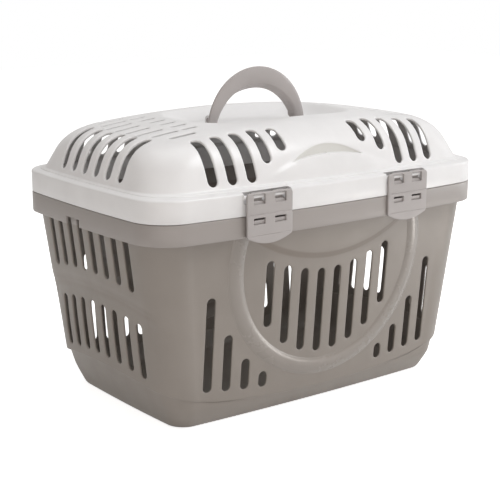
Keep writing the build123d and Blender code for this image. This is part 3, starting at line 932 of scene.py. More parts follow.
def ledge_height(x, y):
    """Where the tub's wall ends and its foot begins."""
    along = LEDGE_FRONT + LEDGE_FRONT_RISE * (x / WALL_LENGTH) ** 2
    start = 0.68 * WALL_LENGTH
    blend = np.clip((np.abs(x) - start) / (WALL_LENGTH - start), 0, 1)
    blend = blend * blend * (3 - 2 * blend)
    arch = LEDGE_END - LEDGE_END_SAG * (y / WALL_WIDTH) ** 2
    return along + (arch - LEDGE_FRONT - LEDGE_FRONT_RISE) * blend


def foot(inset, z):
    """The foot's outline at a height: sloping sides that run into the wall under the ledge."""
    length = soft_min(FOOT_LENGTH + FOOT_LEANS[0] * z, WALL_LENGTH + WALL_LEANS[0] * z - LEDGE_STEP, 1.2)
    width = soft_min(FOOT_WIDTH + FOOT_LEANS[1] * z, WALL_WIDTH + WALL_LEANS[1] * z - LEDGE_STEP, 1.2)
    grow = np.clip(z / 50, 0, 1)
    corner = FOOT_CORNER + grow * (WALL_CORNER + WALL_CORNER_GROWTH * z - LEDGE_STEP - FOOT_CORNER)
    bows = [low + (high - low) * grow for low, high in zip(FOOT_BOWS, WALL_BOWS)]
    return Outline(length - inset, width - inset, corner - inset, bows)


def tub_openings(surface, edge):
    """The slots of a quarter of the tub's wall, each as its own ring and the ring round it."""
    front = [((i + 0.5) * SLOT_PITCH, low, high) for i, (low, high) in enumerate(MIDDLE_SLOTS)]
    front += [(CORNER_SLOT_START + i * SLOT_PITCH, low, high) for i, (low, high) in enumerate(CORNER_SLOTS)]
    openings = []
    for x, low, high in front:
        middle = np.array([x, 0, (low + high) / 2])
        size = (high - low, SLOT_WIDTH, edge)
        openings.append(slot_rings(surface, middle, RIGHT, UP, FRONT, size, (60, 220)))
    for i in range(4):
        drop = END_ARCH_DROP * ((i + 0.5) / 3.5) ** 2
        for low, high in END_SLOT_ROWS:
            top = high - (drop if high < 200 else 0)
            middle = np.array([0, -(i + 0.5) * END_SLOT_PITCH, (top + low - drop) / 2])
            size = (top - low + drop, END_SLOT_WIDTH, edge)
            openings.append(slot_rings(surface, middle, BACK, UP, RIGHT, size, (100, 300)))
    return openings


def decoration_points(surface, spacing):
    """Points along the raised ring, the brow and the end fold, so that their edges come out crisp."""
    found = []
    across = np.array([0, 2.4, 4.8, 6.8, 8.1, 8.9, 9.3, 9.5, 10.4])
    for radius in RING_RADIUS + np.concatenate([-across[:0:-1], across]):
        turn = np.arange(-pi / 2, 0.42, spacing / RING_RADIUS)
        found.append(np.stack([radius * np.cos(turn), RING_CENTRE + radius * np.sin(turn)], 1))
    for radius in BROW_RADIUS + np.linspace(-5, 5, 5):
        turn = np.arange(0.02, 0.72, spacing / BROW_RADIUS)
        found.append(np.stack([radius * np.sin(turn), BROW_CENTRE - radius * np.cos(turn)], 1))
    flat = np.concatenate(found)
    flat = flat[(flat[:, 0] > 1.5) & (flat[:, 1] < 230)]
    front = surface.meet(np.insert(flat, 1, 0, 1), FRONT, 60, 220)
    y = np.arange(2, 116, spacing)
    fold = FOLD_HEIGHT - FOLD_SAG * (y / FOLD_REACH) ** 2
    ends = [np.stack([0 * y, -y, fold + shift], 1) for shift in (-9.0, -4.5, 0, 4.5, 9.0)]
    return np.concatenate([front, surface.meet(np.concatenate(ends), RIGHT, 100, 300)])


class PETCARRIER_OT_tub(bpy.types.Operator):
    """Make the tub: slotted walls, stepped foot, rim and turned-down skirt"""

    bl_idname = "petcarrier.tub"
    bl_label = "Tub"

    def execute(self, context):
        size = sizes()
        depth = size.tub_wall / MM
        edge = size.tub_edge / MM
        surface = TubWall()
        s_values = spread(0.0, (1.0, 42), (2.0, 18), (3.0, 22))
        v_values = np.arange(24.0, 233.0, 4.2)
        bottom = ledge_height(*wall(0, 40.0).point(s_values)) + edge
        top = np.stack([s_values, np.full(len(s_values), RIM_TOP - 1.6)], 1)
        loop, start = border_of(s_values, v_values, bottom, top)
        fill = grid(s_values, v_values, lambda s: np.interp(s, s_values, bottom) + 2.2,
                    lambda s: RIM_TOP - 3.4 + 0 * s)
        marks = decoration_points(surface, 3.6)
        marks = marks[marks[:, 1] > np.interp(marks[:, 0], s_values, bottom) + 1.5]
        openings = tub_openings(surface, edge)
        mesher = Mesher()
        outer, inner = pierced_wall(mesher, surface, loop, fill, marks, openings, (2.2, 2.4), depth, edge)
        roof = slice(start, start + len(top))
        mesher.strip(outer[roof], inner[roof])
        low = slice(len(s_values))
        self.foot(mesher, surface, loop[low], bottom - edge, outer[low], inner[low], depth, edge)
        body = mesher.object("tub_walls", "XY")
        piece = object_from([body, self.skirt(depth)], "carrier_tub")
        finish_piece(piece, tub_plastic(), "tub", ["tub"], sharp=50)
        return {"FINISHED"}

    def foot(self, mesher, surface, low, ledge, outer_start, inner_start, depth, edge):
        """Rolls the wall's lower edge under, steps in to the foot and closes the floor."""
        s = low[:, 0]
        normal = surface.normal(low) * [1, 1, 0]
        wall_edge = surface.place(low) * [1, 1, 0] + ledge[:, None] * UP
        outer = [outer_start]
        for turn in (30, 60, 90):
            inset = edge * (1 - cos(radians(turn)))
            lift = edge * (1 - sin(radians(turn)))
            outer.append(mesher.add(wall_edge - normal * inset + lift * UP))
        plan = []
        for inset, drop in ((-0.5, 0.0), (-0.12, 0.14), (0.0, 0.6)):
            plan.append((foot(inset, ledge - drop), ledge - drop))
        for share in (0.86, 0.7, 0.5, 0.3, 0.12, 0.0):
            z = FOOT_EDGE + (ledge - 0.6 - FOOT_EDGE) * share
            plan.append((foot(0.0, z), z))
        for turn in (22, 45, 67, 90):
            z = FOOT_EDGE * (1 - sin(radians(turn)))
            plan.append((foot(0.62 * FOOT_EDGE * (1 - cos(radians(turn))), z), z))
        outer += mesher.levels(s, plan)
        base = row(foot(0.62 * FOOT_EDGE, 0.0), s, 0.0)
        mesher.strips(outer + mesher.closing(base, (0.97, 0.8, 0.5, 0.2, 0.0)))
        plan = [(foot(depth, ledge + depth * 0.4), ledge + depth * 0.4)]
        for share in (1.0, 0.7, 0.4, 0.15):
            z = depth + 3 + (ledge - depth - 4) * share
            plan.append((foot(depth + 0.3, z), z))
        plan += [(foot(depth + 1.0, depth + 0.8), depth + 0.8), (foot(depth + 3.0, depth), depth)]
        inner = [inner_start, *mesher.levels(s, plan)]
        base = row(foot(depth + 3.0, depth), s, depth)
        mesher.strips(inner + mesher.closing(base, (0.9, 0.5, 0.2, 0.0)))

    def skirt(self, depth):
        """The rim's flat top and the skirt that turns down from it, with its slots."""
        mesher = Mesher()
        top = RIM_TOP
        foot_z = top - SKIRT_DROP
        plan = [
            (wall(depth, top), top - 2.6), (wall(depth, top), top - 0.6), (wall(depth - 0.6, top), top),
            (rim(1.0), top), (rim(0.3), top - 0.3), (rim(0.0), top - 1.0),
            (rim(0.0), foot_z + 8), (rim(0.0), foot_z + 0.9), (rim(0.26), foot_z + 0.26), (rim(0.9), foot_z),
            (rim(SKIRT_WALL - 0.7), foot_z), (rim(SKIRT_WALL), foot_z + 0.7), (rim(SKIRT_WALL), foot_z + 8),
            (rim(SKIRT_WALL), top - 3.2), (rim(SKIRT_WALL + 0.5), top - 2.4),
            (wall(0.4, top - 2.2), top - 2.2),
        ]
        rows = mesher.levels(RIM_PLACES, plan)
        mesher.strips(rows + rows[:1])
        ring = mesher.object("tub_skirt", "XY")
        cutters = []
        low, high = SKIRT_SLOT_HEIGHTS
        for x, side in clip_places():
            y = side * bar_y
            for middle in (x + PRONG_PLACES[0], x + PRONG_PLACES[1]):
                cutters.append(block((middle - SKIRT_SLOT_HALF, y - 7, bar_z + low),
                                     (middle + SKIRT_SLOT_HALF, y + 7, bar_z + high)))
        for x in (-RIM_LENGTH, RIM_LENGTH):
            cutters.append(block((x - 8, 0.0, foot_z - 3), (x + 8, NOTCH_WIDTH, foot_z + NOTCH_RISE)))
        cut(ring, cutters)
        return ring


def lid_openings(surface, edge):
    """The slots of a quarter of the lid: long side, end and the two groups on the crown."""
    openings = []
    for i, (low, high) in enumerate(LID_SLOTS):
        x = LID_SLOT_START + i * LID_SLOT_PITCH
        ends = surface.meet(np.array([[x, 0, DOME_FOOT + low], [x, 0, DOME_FOOT + high]]), FRONT, 20, 200)
        openings.append(chord_slot(surface, ends, RIGHT, LID_SLOT_WIDTH, edge))
    low, high = LID_END_SLOT
    for i in range(3):
        y = -(i + 0.5) * LID_END_PITCH
        ends = surface.meet(np.array([[0, y, DOME_FOOT + low], [0, y, DOME_FOOT + high]]), RIGHT, 80, 300)
        openings.append(chord_slot(surface, ends, BACK, LID_END_WIDTH, edge))
    x, length, curve = TOP_OUTER
    crown = [(x - curve * ((i + 0.5) / 3.5) ** 2, i, length) for i in range(4)]
    x, length = TOP_INNER
    crown += [(x, i, length) for i in range(3)]
    for x, i, length in crown:
        middle = np.array([x, -(i + 0.5) * TOP_SLOT_PITCH, 0])
        size = (length, TOP_SLOT_WIDTH, edge * 1.2)
        reach = (DOME_FOOT, DOME_FOOT + DOME_RISE)
        openings.append(slot_rings(surface, middle, BACK, RIGHT, UP, size, reach))
    return openings


def chord_slot(surface, ends, across, width, edge):
    """A slot cut square to the line between its two ends on the dome."""
    ends = surface.base(ends)
    along = ends[1] - ends[0]
    length = np.linalg.norm(along)
    along = along / length
    out = np.cross(across, along)
    if out[2] < 0:
        out = -out
    return slot_rings(surface, ends.mean(0), across, along, out, (length, width, edge), (-12, 24))


def recess(grow, z):
    """The handle recess's outline at a height."""
    out = RECESS_SLOPE * (z - RECESS_FLOOR) + grow
    return Outline(RECESS_LENGTH + out, RECESS_WIDTH + out, RECESS_CORNER + 0.7 * out, (6.0, 4.0))


def recess_mouth(surface, s, grow):
    """Where the recess, grown outwards, comes through the dome."""
    low = np.full(len(s), RECESS_FLOOR)
    high = np.full(len(s), DOME_FOOT + DOME_RISE)
    for _ in range(40):
        z = (low + high) / 2
        x, y = recess(grow, z).point(s)
        beyond = surface.outline(surface.level(z)).outside(x, y) > 0
        high = np.where(beyond, z, high)
        low = np.where(beyond, low, z)
    return row(recess(grow, low), s, low)


class PETCARRIER_OT_lid(bpy.types.Operator):
    """Make the lid: domed roof with its slots, handle recess, band and the bars of the clips"""

    bl_idname = "petcarrier.lid"
    bl_label = "Lid"

    def execute(self, context):
        size = sizes()
        depth = size.lid_wall / MM
        edge = size.lid_edge / MM
        surface = Dome()
        s_values = spread(0.0, (1.0, 42), (2.0, 22), (3.0, 22))
        mouth_s = spread(0.0, (1.0, 18), (2.0, 14), (3.0, 10))
        lip = recess_mouth(surface, mouth_s, RECESS_LIP)
        v = surface.level(lip[:, 2])
        mouth = np.stack([surface.outline(v).locate(lip[:, 0], lip[:, 1]), v], 1)
        mouth[0, 0] = 0.0
        mouth[-1, 0] = 3.0
        v_values = np.concatenate([np.arange(5.5, 90, 3.4), np.arange(91, 112, 2.2)])
        loop, start = border_of(s_values, v_values, np.full(len(s_values), DOME_FILLET), mouth)
        fill = grid(s_values, v_values, lambda s: 3.0 + 0 * s,
                    lambda s: np.interp(s, mouth[:, 0], mouth[:, 1]) - 1.8)
        marks = self.crescent_points(surface)
        openings = lid_openings(surface, edge)
        mesher = Mesher()
        outer, inner = pierced_wall(mesher, surface, loop, fill, marks, openings, (2.0, 1.9), depth, edge)
        brim = np.arange(start, start + len(mouth))[::-1]
        self.pan(mesher, surface, mouth_s, outer[brim], inner[brim], depth)
        low = slice(len(s_values))
        self.ledge(mesher, surface, s_values, outer[low], inner[low], depth)
        dome = mesher.object("lid_dome", "XY")
        piece = object_from([dome, self.band(depth), self.ears()], "carrier_lid")
        finish_piece(piece, lid_plastic(), "lid", ["lid"])
        return {"FINISHED"}

    def crescent_points(self, surface):
        """Points along both edges of the crescent."""
        found = []
        x = np.arange(1.5, CRESCENT_REACH + 2, 2.0)
        across = (x / CRESCENT_REACH) ** 2
        for peak in (CRESCENT_TOP, CRESCENT_UNDER):
            line = CRESCENT_TIPS + (peak - CRESCENT_TIPS) * (1 - across)
            for shift in (-0.9, -0.35, 0.35, 0.9):
                found.append(np.stack([x, 0 * x, DOME_FOOT + line + shift], 1))
        return surface.meet(np.concatenate(found), FRONT, 20, 200)

    def pan(self, mesher, surface, s, outer_start, inner_start, depth):
        """Turns the roof down into the handle recess and closes its floor."""
        lip = recess_mouth(surface, s, RECESS_LIP)
        crest = recess_mouth(surface, s, 0.0)
        brink = crest[:, 2] - 2.4
        down = row(recess(0.0, brink), s, brink)
        outer = [outer_start]
        outer += [mesher.add(bend(lip, crest, down, t)) for t in (0.2, 0.4, 0.6, 0.8, 1.0)]
        low = RECESS_FLOOR + 1.8
        plan = []
        for share in (0.66, 0.33, 0.0):
            z = low + (brink - low) * share
            plan.append((recess(0.0, z), z))
        for grow, lift in ((-0.5, 0.75), (-1.8, 0.2), (-3.6, 0.0)):
            z = RECESS_FLOOR + lift
            plan.append((recess(grow - RECESS_SLOPE * lift, z), z))
        outer += mesher.levels(s, plan)
        base = row(recess(-3.6, RECESS_FLOOR), s, RECESS_FLOOR)
        mesher.strips(outer + mesher.closing(base, (0.85, 0.6, 0.3, 0.0)))
        out = depth * sqrt(1 + RECESS_SLOPE ** 2)
        under = RECESS_FLOOR - depth
        plan = []
        for share in (0.8, 0.5, 0.2, 0.0):
            z = under + (crest[:, 2] - 3 - RECESS_FLOOR) * share
            plan.append((recess(out, z), z))
        inner = [inner_start, *mesher.levels(s, plan)]
        base = row(recess(out - 2, under), s, under)
        mesher.strips(inner + mesher.closing(base, (1.0, 0.6, 0.3, 0.0)))

    def shelf(self, share, drop=0.0):
        """An outline on the sloping ledge, from the band at 0 to the dome at 1, and its height."""
        foot_line = Dome().outline(np.array(0.0))
        edge = rim(1.0)
        parts = []
        for name in ("length", "width", "corner", "bow_long", "bow_end"):
            low, high = getattr(edge, name), getattr(foot_line, name)
            parts.append(low + (high - low) * share)
        z = BAND_TOP + 0.35 + (DOME_FOOT - BAND_TOP - 0.35) * share - drop
        return Outline(*parts[:3], parts[3:]), z

    def ledge(self, mesher, surface, s, outer_start, inner_start, depth):
        """Joins the dome to the inner part of the ledge with a soft fillet."""
        wall_row = surface.place(np.stack([s, np.full(len(s), DOME_FILLET)], 1))
        crest = surface.base(np.stack([s, 0 * s], 1))
        outline, z = self.shelf(0.88)
        shelf_row = row(outline, s, z)
        outer = [outer_start]
        outer += [mesher.add(bend(wall_row, crest, shelf_row, t)) for t in (0.25, 0.5, 0.75, 1.0)]
        near = LEDGE_SPLIT - 0.03
        far = LEDGE_SPLIT + 0.04
        stops = ((far, 0.0), (LEDGE_SPLIT, 0.12), (near, 0.5), (near, depth), (far, depth), (0.95, depth))
        outer += mesher.levels(s, [self.shelf(*stop) for stop in stops])
        mesher.strips([*outer, inner_start])

    def band(self, depth):
        """The lid's upright band with the outer ledge, the inner lip, clip pockets and bars."""
        mesher = Mesher()
        low = LID_FOOT
        plan = [self.shelf(LEDGE_SPLIT + 0.02, 0.75), self.shelf(0.5, 0.75), self.shelf(0.22, 0.7)]
        for turn in (8, 30, 52, 74, 90):
            inset = 2.3 * (1 - sin(radians(turn)))
            plan.append((rim(inset), BAND_TOP - 2.3 + 2.3 * cos(radians(turn))))
        plan += [(rim(0), low + 12), (rim(0), low + 0.8), (rim(0.24), low + 0.24), (rim(0.8), low)]
        plan += [(rim(SKIRT_WALL - 0.6), low), (rim(SKIRT_WALL), low + 0.6), (rim(SKIRT_WALL), low + 12)]
        plan += [(rim(SKIRT_WALL), BAND_TOP - depth - 1.5), (rim(SKIRT_WALL + 1.2), BAND_TOP - depth)]
        for inset, z in ((3.3, BAND_TOP - 0.6), (3.3, RIM_TOP - 3.0), (3.8, RIM_TOP - 3.8),
                         (4.8, RIM_TOP - 3.8), (5.3, RIM_TOP - 3.0), (5.3, BAND_TOP - 0.6)):
            plan.append((wall(inset, RIM_TOP), z))
        rows = mesher.levels(RIM_PLACES, plan)
        mesher.strips(rows + rows[:1])
        ring = mesher.object("lid_band", "XY")
        half = CLIP_HALF + POCKET_SIDE
        liners = []
        pockets = []
        bars = []
        for x, side in clip_places():
            y = side * bar_y
            liners.append(prism_x(self.liner_profile(side), x - half - 2, x + half + 2))
            pockets.append(prism_x(circle(y, bar_z, POCKET_RADIUS, 40), x - half, x + half))
            bars.append(prism_x(circle(y, bar_z, BAR_RADIUS, 28), x - half - 1, x + half + 1))
        cut(ring, liners, "UNION")
        cut(ring, pockets)
        return object_from([ring, *bars], "lid_band_and_bars")

    def liner_profile(self, side):
        """Cross-section of the block that a clip's pocket is cut into."""
        profile = ((0.4, -8.9), (0.4, 3.2), (5.5, 4.6), (8.9, 4.6), (8.9, -6.5), (6.5, -8.9))
        return [(side * (bar_y - y), bar_z + z) for y, z in profile]

    def ears(self):
        """Two round-topped ears in the recess that carry the handle's pins."""
        mesher = Mesher()
        turn = np.linspace(-pi / 2, pi * 1.5, 49)[:-1]
        across = np.cos(turn)
        y = EAR_RADIUS * across
        z = pivot_z + EAR_RADIUS * np.sin(turn)
        below = z < pivot_z
        y = np.where(below, EAR_RADIUS * np.sign(across) * np.minimum(1, np.abs(across) * 9), y)
        z = np.where(below, RECESS_FLOOR - 0.6, z)
        outer = np.stack([pivot_y + y, z], 1)
        inner = np.stack([pivot_y + EAR_HOLE * across, pivot_z + EAR_HOLE * np.sin(turn)], 1)
        rows = []
        for ring, x in ((outer, 0), (outer, EAR_THICK), (inner, EAR_THICK), (inner, 0)):
            rows.append(mesher.add(np.insert(ring, 0, ear_inner + x, 1)))
        mesher.strips(rows + rows[:1], closed=True)
        return mesher.object("lid_ears", "X")


class PETCARRIER_OT_handle(bpy.types.Operator):
    """Make the carry handle: an arched face with a wide grip behind it and two pins"""

    bl_idname = "petcarrier.handle"
    bl_label = "Handle"

    def execute(self, context):
        mesher = Mesher()
        turns = np.linspace(0, pi / 2, 46)
        rows = []
        for radius, centre, y, flange in self.section():
            rows.append(mesher.add(self.arch_row(turns, radius, centre, y, flange)))
        mesher.strips(rows + rows[:1])
        mesher.cap([ring[0] for ring in rows])
        arch = mesher.object("handle_arch", "X")
        pins = []
        for side in (-1, 1):
            ends = sorted((side * (cheek_outer - 1), side * (ear_inner + EAR_THICK - 0.2)))
            pins.append(prism_x(circle(pivot_y, pivot_z, PIN_RADIUS, 28), *ends))
        piece = object_from([arch, *pins], "carrier_handle")
        finish_piece(piece, fitting_plastic(), "handle", ["handle"], 40)
        return {"FINISHED"}

    def section(self):
        """The handle's L-shaped cross-section as arcs: radius, centre height, y and flange share."""
        front = handle_low.y
        back = handle_high.y
        step = front + HANDLE_PLATE

        def face(extra, y):
            return HANDLE_RADIUS + extra, HANDLE_CENTRE, y, 0

        def bevel(share, y):
            return GRIP_RADIUS + GRIP_BEVEL * share, GRIP_CENTRE - (GRIP_BEVEL - 1) * share, y, 0

        def grip(t, extra, y, flange=1):
            centre = GRIP_CENTRE - (GRIP_DROP + GRIP_GROW) * t
            return GRIP_RADIUS + GRIP_GROW * t + extra, centre, y, flange

        points = [face(0.0, front + 1.0), face(-0.3, front + 0.3), face(-1.0, front), face(-5.0, front)]
        points += [bevel(1.0, front), bevel(0.75, front + 0.2)]
        points += [bevel(0.45, front + 0.7), bevel(0.2, front + 1.3)]
        points += [grip(0.05, 0.0, front + 1.9, 0), grip(0.2, 0.0, step, 0.5)]
        points += [grip(t, 0.0, front + (back - front) * t) for t in (0.4, 0.7, 0.93)]
        points += [grip(0.98, 0.3, back - 0.25), grip(1, 0.9, back), grip(1, GRIP_FLANGE - 0.9, back, 2)]
        points.append(grip(0.98, GRIP_FLANGE - 0.3, back - 0.25, 2))
        points += [grip(t, GRIP_FLANGE, front + (back - front) * t, 2) for t in (0.93, 0.6, 0.3)]
        points += [grip(0.21, GRIP_FLANGE + 0.1, step + 0.3, 2), grip(0.2, GRIP_FLANGE + 0.6, step, 2)]
        return points + [face(-0.7, step), face(-0.2, step - 0.2), face(0.0, step - 0.7)]

    def arch_row(self, turns, radius, centre, y, flange):
        """Points where rays from the middle of the legs' feet meet one arc of the cross-section."""
        foot_z = handle_low.z
        rise = centre - foot_z
        reach = rise * np.sin(turns) + np.sqrt(radius ** 2 - (rise * np.cos(turns)) ** 2)
        x = reach * np.cos(turns)
        z = foot_z + reach * np.sin(turns)
        y = np.full(len(x), float(y))
        if flange:
            step = handle_low.y + HANDLE_PLATE
            round_end = np.sqrt(np.maximum(CHEEK_ROUND ** 2 - np.maximum(pivot_z - z, 0) ** 2, 0))
            x = np.minimum(x, grip_at_pivot if flange < 2 else cheek_outer)
            y = np.minimum(y, np.maximum(pivot_y + round_end, step))
            y = np.where(y > step, step + (y - step) * (1 - CROWN_SLIM * np.sin(turns) ** 2), y)
        return np.stack([x, y, z], 1)


class ClipPlate(Surface):
    """The flat face of a clip about its bar: s is across, v is up, and depth goes back."""

    def flat(self, q):
        return q

    def base(self, q):
        curl = np.clip((q[:, 1] - (CLIP_TOP - 3.2)) / 3.2, 0, 1) ** 2 * 1.3
        groove = np.zeros(len(q))
        for z in CLIP_GROOVES:
            groove = np.maximum(groove, 1 - np.clip(np.abs(q[:, 1] - z) - 0.15, 0, 0.4) / 0.4)
        return np.stack([q[:, 0], CLIP_FRONT + curl + 0.45 * groove, q[:, 1]], 1)

    def normal(self, q):
        return np.tile(FRONT, (len(q), 1))


def arc(x, z, radius, start, end, count):
    """Points round a corner, from one angle to another in degrees."""
    turns = np.radians(np.linspace(start, end, count))
    return [(x + radius * cos(turn), z + radius * sin(turn)) for turn in turns]


def rounded_window(x, low, high, width, radius):
    """A rectangle with rounded corners as a closed ring."""
    side = width / 2 - radius
    rise = (high - low) / 2 - radius
    middle = (low + high) / 2
    ring = []
    for way_x, way_z, start in ((1, 1, 0), (-1, 1, 90), (-1, -1, 180), (1, -1, 270)):
        ring += arc(x + way_x * side, middle + way_z * rise, radius, start, start + 90, 5)
    return np.array(ring)


def clip_outline(inset):
    """A clip's outline about its bar: straight sides, round corners and a sagging foot."""
    half = CLIP_HALF - inset
    top = CLIP_TOP - inset
    radius = CLIP_CORNER - inset
    low = CLIP_FOOT + inset + 3
    side = half - radius
    ring = arc(side, top - radius, radius, 0, 90, 7)
    ring += [(x, top) for x in np.linspace(side, -side, 12)[1:-1]]
    ring += arc(-side, top - radius, radius, 90, 180, 7)
    ring += [(-half, z) for z in np.linspace(top - radius, low, 12)[1:-1]]
    ring += arc(-side, low, radius, 180, 255, 6)
    x0, z0 = ring[-1]
    for x in np.linspace(x0, -x0, 20)[1:-1]:
        ring.append((x, z0 - (CLIP_SAG - 0.9) * (1 - (x / x0) ** 2)))
    ring += arc(side, low, radius, 285, 360, 6)
    ring += [(half, z) for z in np.linspace(low, top - radius, 12)[1:-1]]
    return np.array(ring)


def make_clip():
    """One clip about its bar: plate with four windows, two hooks and two noses."""
    plate = ClipPlate()
    openings = []
    for x in PRONG_PLACES:
        for low, high in WINDOWS:
            lip = rounded_window(x, low - 0.55, high + 0.5, WINDOW_WIDTH + 1.1, 1.35)
            openings.append((rounded_window(x, low, high, WINDOW_WIDTH, 0.8), lip))
    rows = [-48, -45, -37, -33, -30.5, -27.5, -24, -21, -14, -10.5, -6, -3, 0, 2.4, 3.0]
    for groove in CLIP_GROOVES:
        rows += [groove + shift for shift in (-0.9, -0.55, -0.2, 0.2, 0.55, 0.9)]
    x, z = np.meshgrid(np.arange(-27, 28, 3.0), sorted(rows))
    fill = np.stack([x.ravel(), z.ravel()], 1)
    fill = fill[points_inside(fill, clip_outline(CLIP_EDGE + 0.9))]
    fill = clear_of(plate, fill, [lip for _, lip in openings], 0.5)
    border = clip_outline(CLIP_EDGE)
    q = np.concatenate([border, fill])
    mesher = Mesher()
    mesher.shell(plate, q, openings, np.arange(len(border)), CLIP_THICK, 0.55, clip_outline(0.0))
    parts = [mesher.object("clip_plate")]
    front = CLIP_FRONT
    back = CLIP_BACK
    hook = arc(0, 0, HOOK_INNER, -50, 96, 20)
    hook += arc(0, 0, (HOOK_INNER + HOOK_OUTER) / 2, 113.19, 113.19, 1)
    hook += arc(0, 0, HOOK_OUTER, 96, -50, 20)
    hook += [(2.6, -5.0), (1.8, -5.9), (back + 0.6, -6.6), (back + 0.1, -9.2), (front + 2.2, -9.2),
             (front + 2.3, -7.6), (back + 0.8, -5.4), (back + 1.4, -4.9), (1.2, -4.7), (1.5, -4.2)]
    nose = [(front + 2.4, -29.3), (front + 1.7, -26.9), (front + 1.7, -25.0), (back + 4.4, -24.6),
            (back + 6.0, -25.6), (back + 6.0, -27.2)]
    for x in PRONG_PLACES:
        parts.append(prism_x(hook, x - 7.5, x + 7.5))
        parts.append(prism_x(nose, x - 7.7, x + 7.7))
    clip = object_from(parts, "clip_master")
    clip.data.shade_smooth()
    clip.data.set_sharp_from_angle(angle=radians(32))
    return clip


def copies_tree():
    """Geometry nodes that set copies of a piece along X and turn them about Z."""
    tree = bpy.data.node_groups.new("copies_along_rim", "GeometryNodeTree")
    inputs = (("Piece", "NodeSocketObject", None), ("Count", "NodeSocketInt", 1),
              ("Start", "NodeSocketVector", (0.0, 0.0, 0.0)), ("Spacing", "NodeSocketFloat", 0.1),
              ("Turn", "NodeSocketFloat", 0.0), ("Material", "NodeSocketMaterial", None))
    for name, kind, value in inputs:
        socket = tree.interface.new_socket(name, in_out="INPUT", socket_type=kind)
        if value is not None:
            socket.default_value = value
    tree.interface.new_socket("Copies", in_out="OUTPUT", socket_type="NodeSocketGeometry")
    nodes = Nodes(tree)
    names = [name for name, kind, value in inputs]
    piece, count, start, spacing, turn, material = nodes.outputs("NodeGroupInput", names)
    offset = nodes.node("ShaderNodeCombineXYZ", None, {"X": spacing})
    line = nodes.node("GeometryNodeMeshLine", None,
                      {"Count": count, "Start Location": start, "Offset": offset})
    shape = nodes.node("GeometryNodeObjectInfo", None, {"Object": piece}, "Geometry")
    turned = nodes.node("ShaderNodeCombineXYZ", None, {"Z": turn})
    copies = nodes.node("GeometryNodeInstanceOnPoints", None,
                        {"Points": line, "Instance": shape, "Rotation": turned})
    whole = nodes.node("GeometryNodeRealizeInstances", None, {"Geometry": copies})
    dressed = nodes.node("GeometryNodeSetMaterial", None, {"Geometry": whole, "Material": material})
    nodes.node("NodeGroupOutput", None, {"Copies": dressed})
    return tree


def set_copies(tree, name, **values):
    """Runs the copies tree once and returns its result as a plain mesh piece."""
    holder = bpy.data.objects.new(name, bpy.data.meshes.new(name))
    bpy.context.collection.objects.link(holder)
    step = holder.modifiers.new("copies", "NODES")
    step.node_group = tree
    keys = {item.name: item.identifier for item in tree.interface.items_tree if item.in_out == "INPUT"}
    for key, value in values.items():
        step[keys[key.capitalize()]] = value
    evaluated = holder.evaluated_get(bpy.context.evaluated_depsgraph_get())
    mesh = bpy.data.meshes.new_from_object(evaluated)
    holder.modifiers.clear()
    holder.data = mesh
    return holder


class PETCARRIER_OT_clips(bpy.types.Operator):
    """Make the two front latches and the two hinge clips at the back"""

    bl_idname = "petcarrier.clips"
    bl_label = "Latches and hinges"

    def execute(self, context):
        master = make_clip()
        tree = copies_tree()
        material = fitting_plastic()
        for name, x in (("latch_left", -clip_x), ("latch_right", clip_x)):
            start = Vector((x, -bar_y, bar_z)) * MM
            latch = set_copies(tree, "carrier_" + name, piece=master, count=1, start=start, material=material)
            finish_piece(latch, material, name, [name])
        start = Vector((-clip_x, bar_y, bar_z)) * MM
        hinges = set_copies(tree, "carrier_hinge_clips", piece=master, count=2, start=start,
                            spacing=2 * clip_x * MM, turn=pi, material=material)
        finish_piece(hinges, material, "tub", ["hinge_left", "hinge_right"])
        bpy.data.objects.remove(master)
        return {"FINISHED"}


def tub_plastic():
    size = sizes()
    # Painted light: the rim and skirt are painted lighter than the wall.
    # Painted shade: the brow's step and the end folds are painted darker.
    painted_light_and_shade = ((brow_and_fold_shade_mask, size.fold_shade_colour), (skirt_painted_light_mask, size.skirt_lit_colour))
    return moulded_plastic("tub_taupe_plastic", size.tub_colour, 1500.0, 0.38, ring_mask, painted_light_and_shade)


def lid_plastic():
    size = sizes()
    # Painted shade: the crescent's floor is painted grey.
    painted_light_and_shade = ((crescent_shade_mask, size.crescent_shade_colour),)
    return moulded_plastic("lid_white_plastic", size.lid_colour, 1700.0, 0.30, None, painted_light_and_shade)


def fitting_plastic():
    found = bpy.data.materials.get("fitting_taupe_plastic")
    return found or moulded_plastic("fitting_taupe_plastic", sizes().fitting_colour, 1900.0, 0.36)


# Camera at the photograph's place, from a fit to the rim, slots and latches
CAMERA_PLACE = Vector((-0.88959, -1.16246, 0.49943))
CAMERA_AZIMUTH = -37.1775
CAMERA_ELEVATION = 13.254
CAMERA_LENS = 89.835


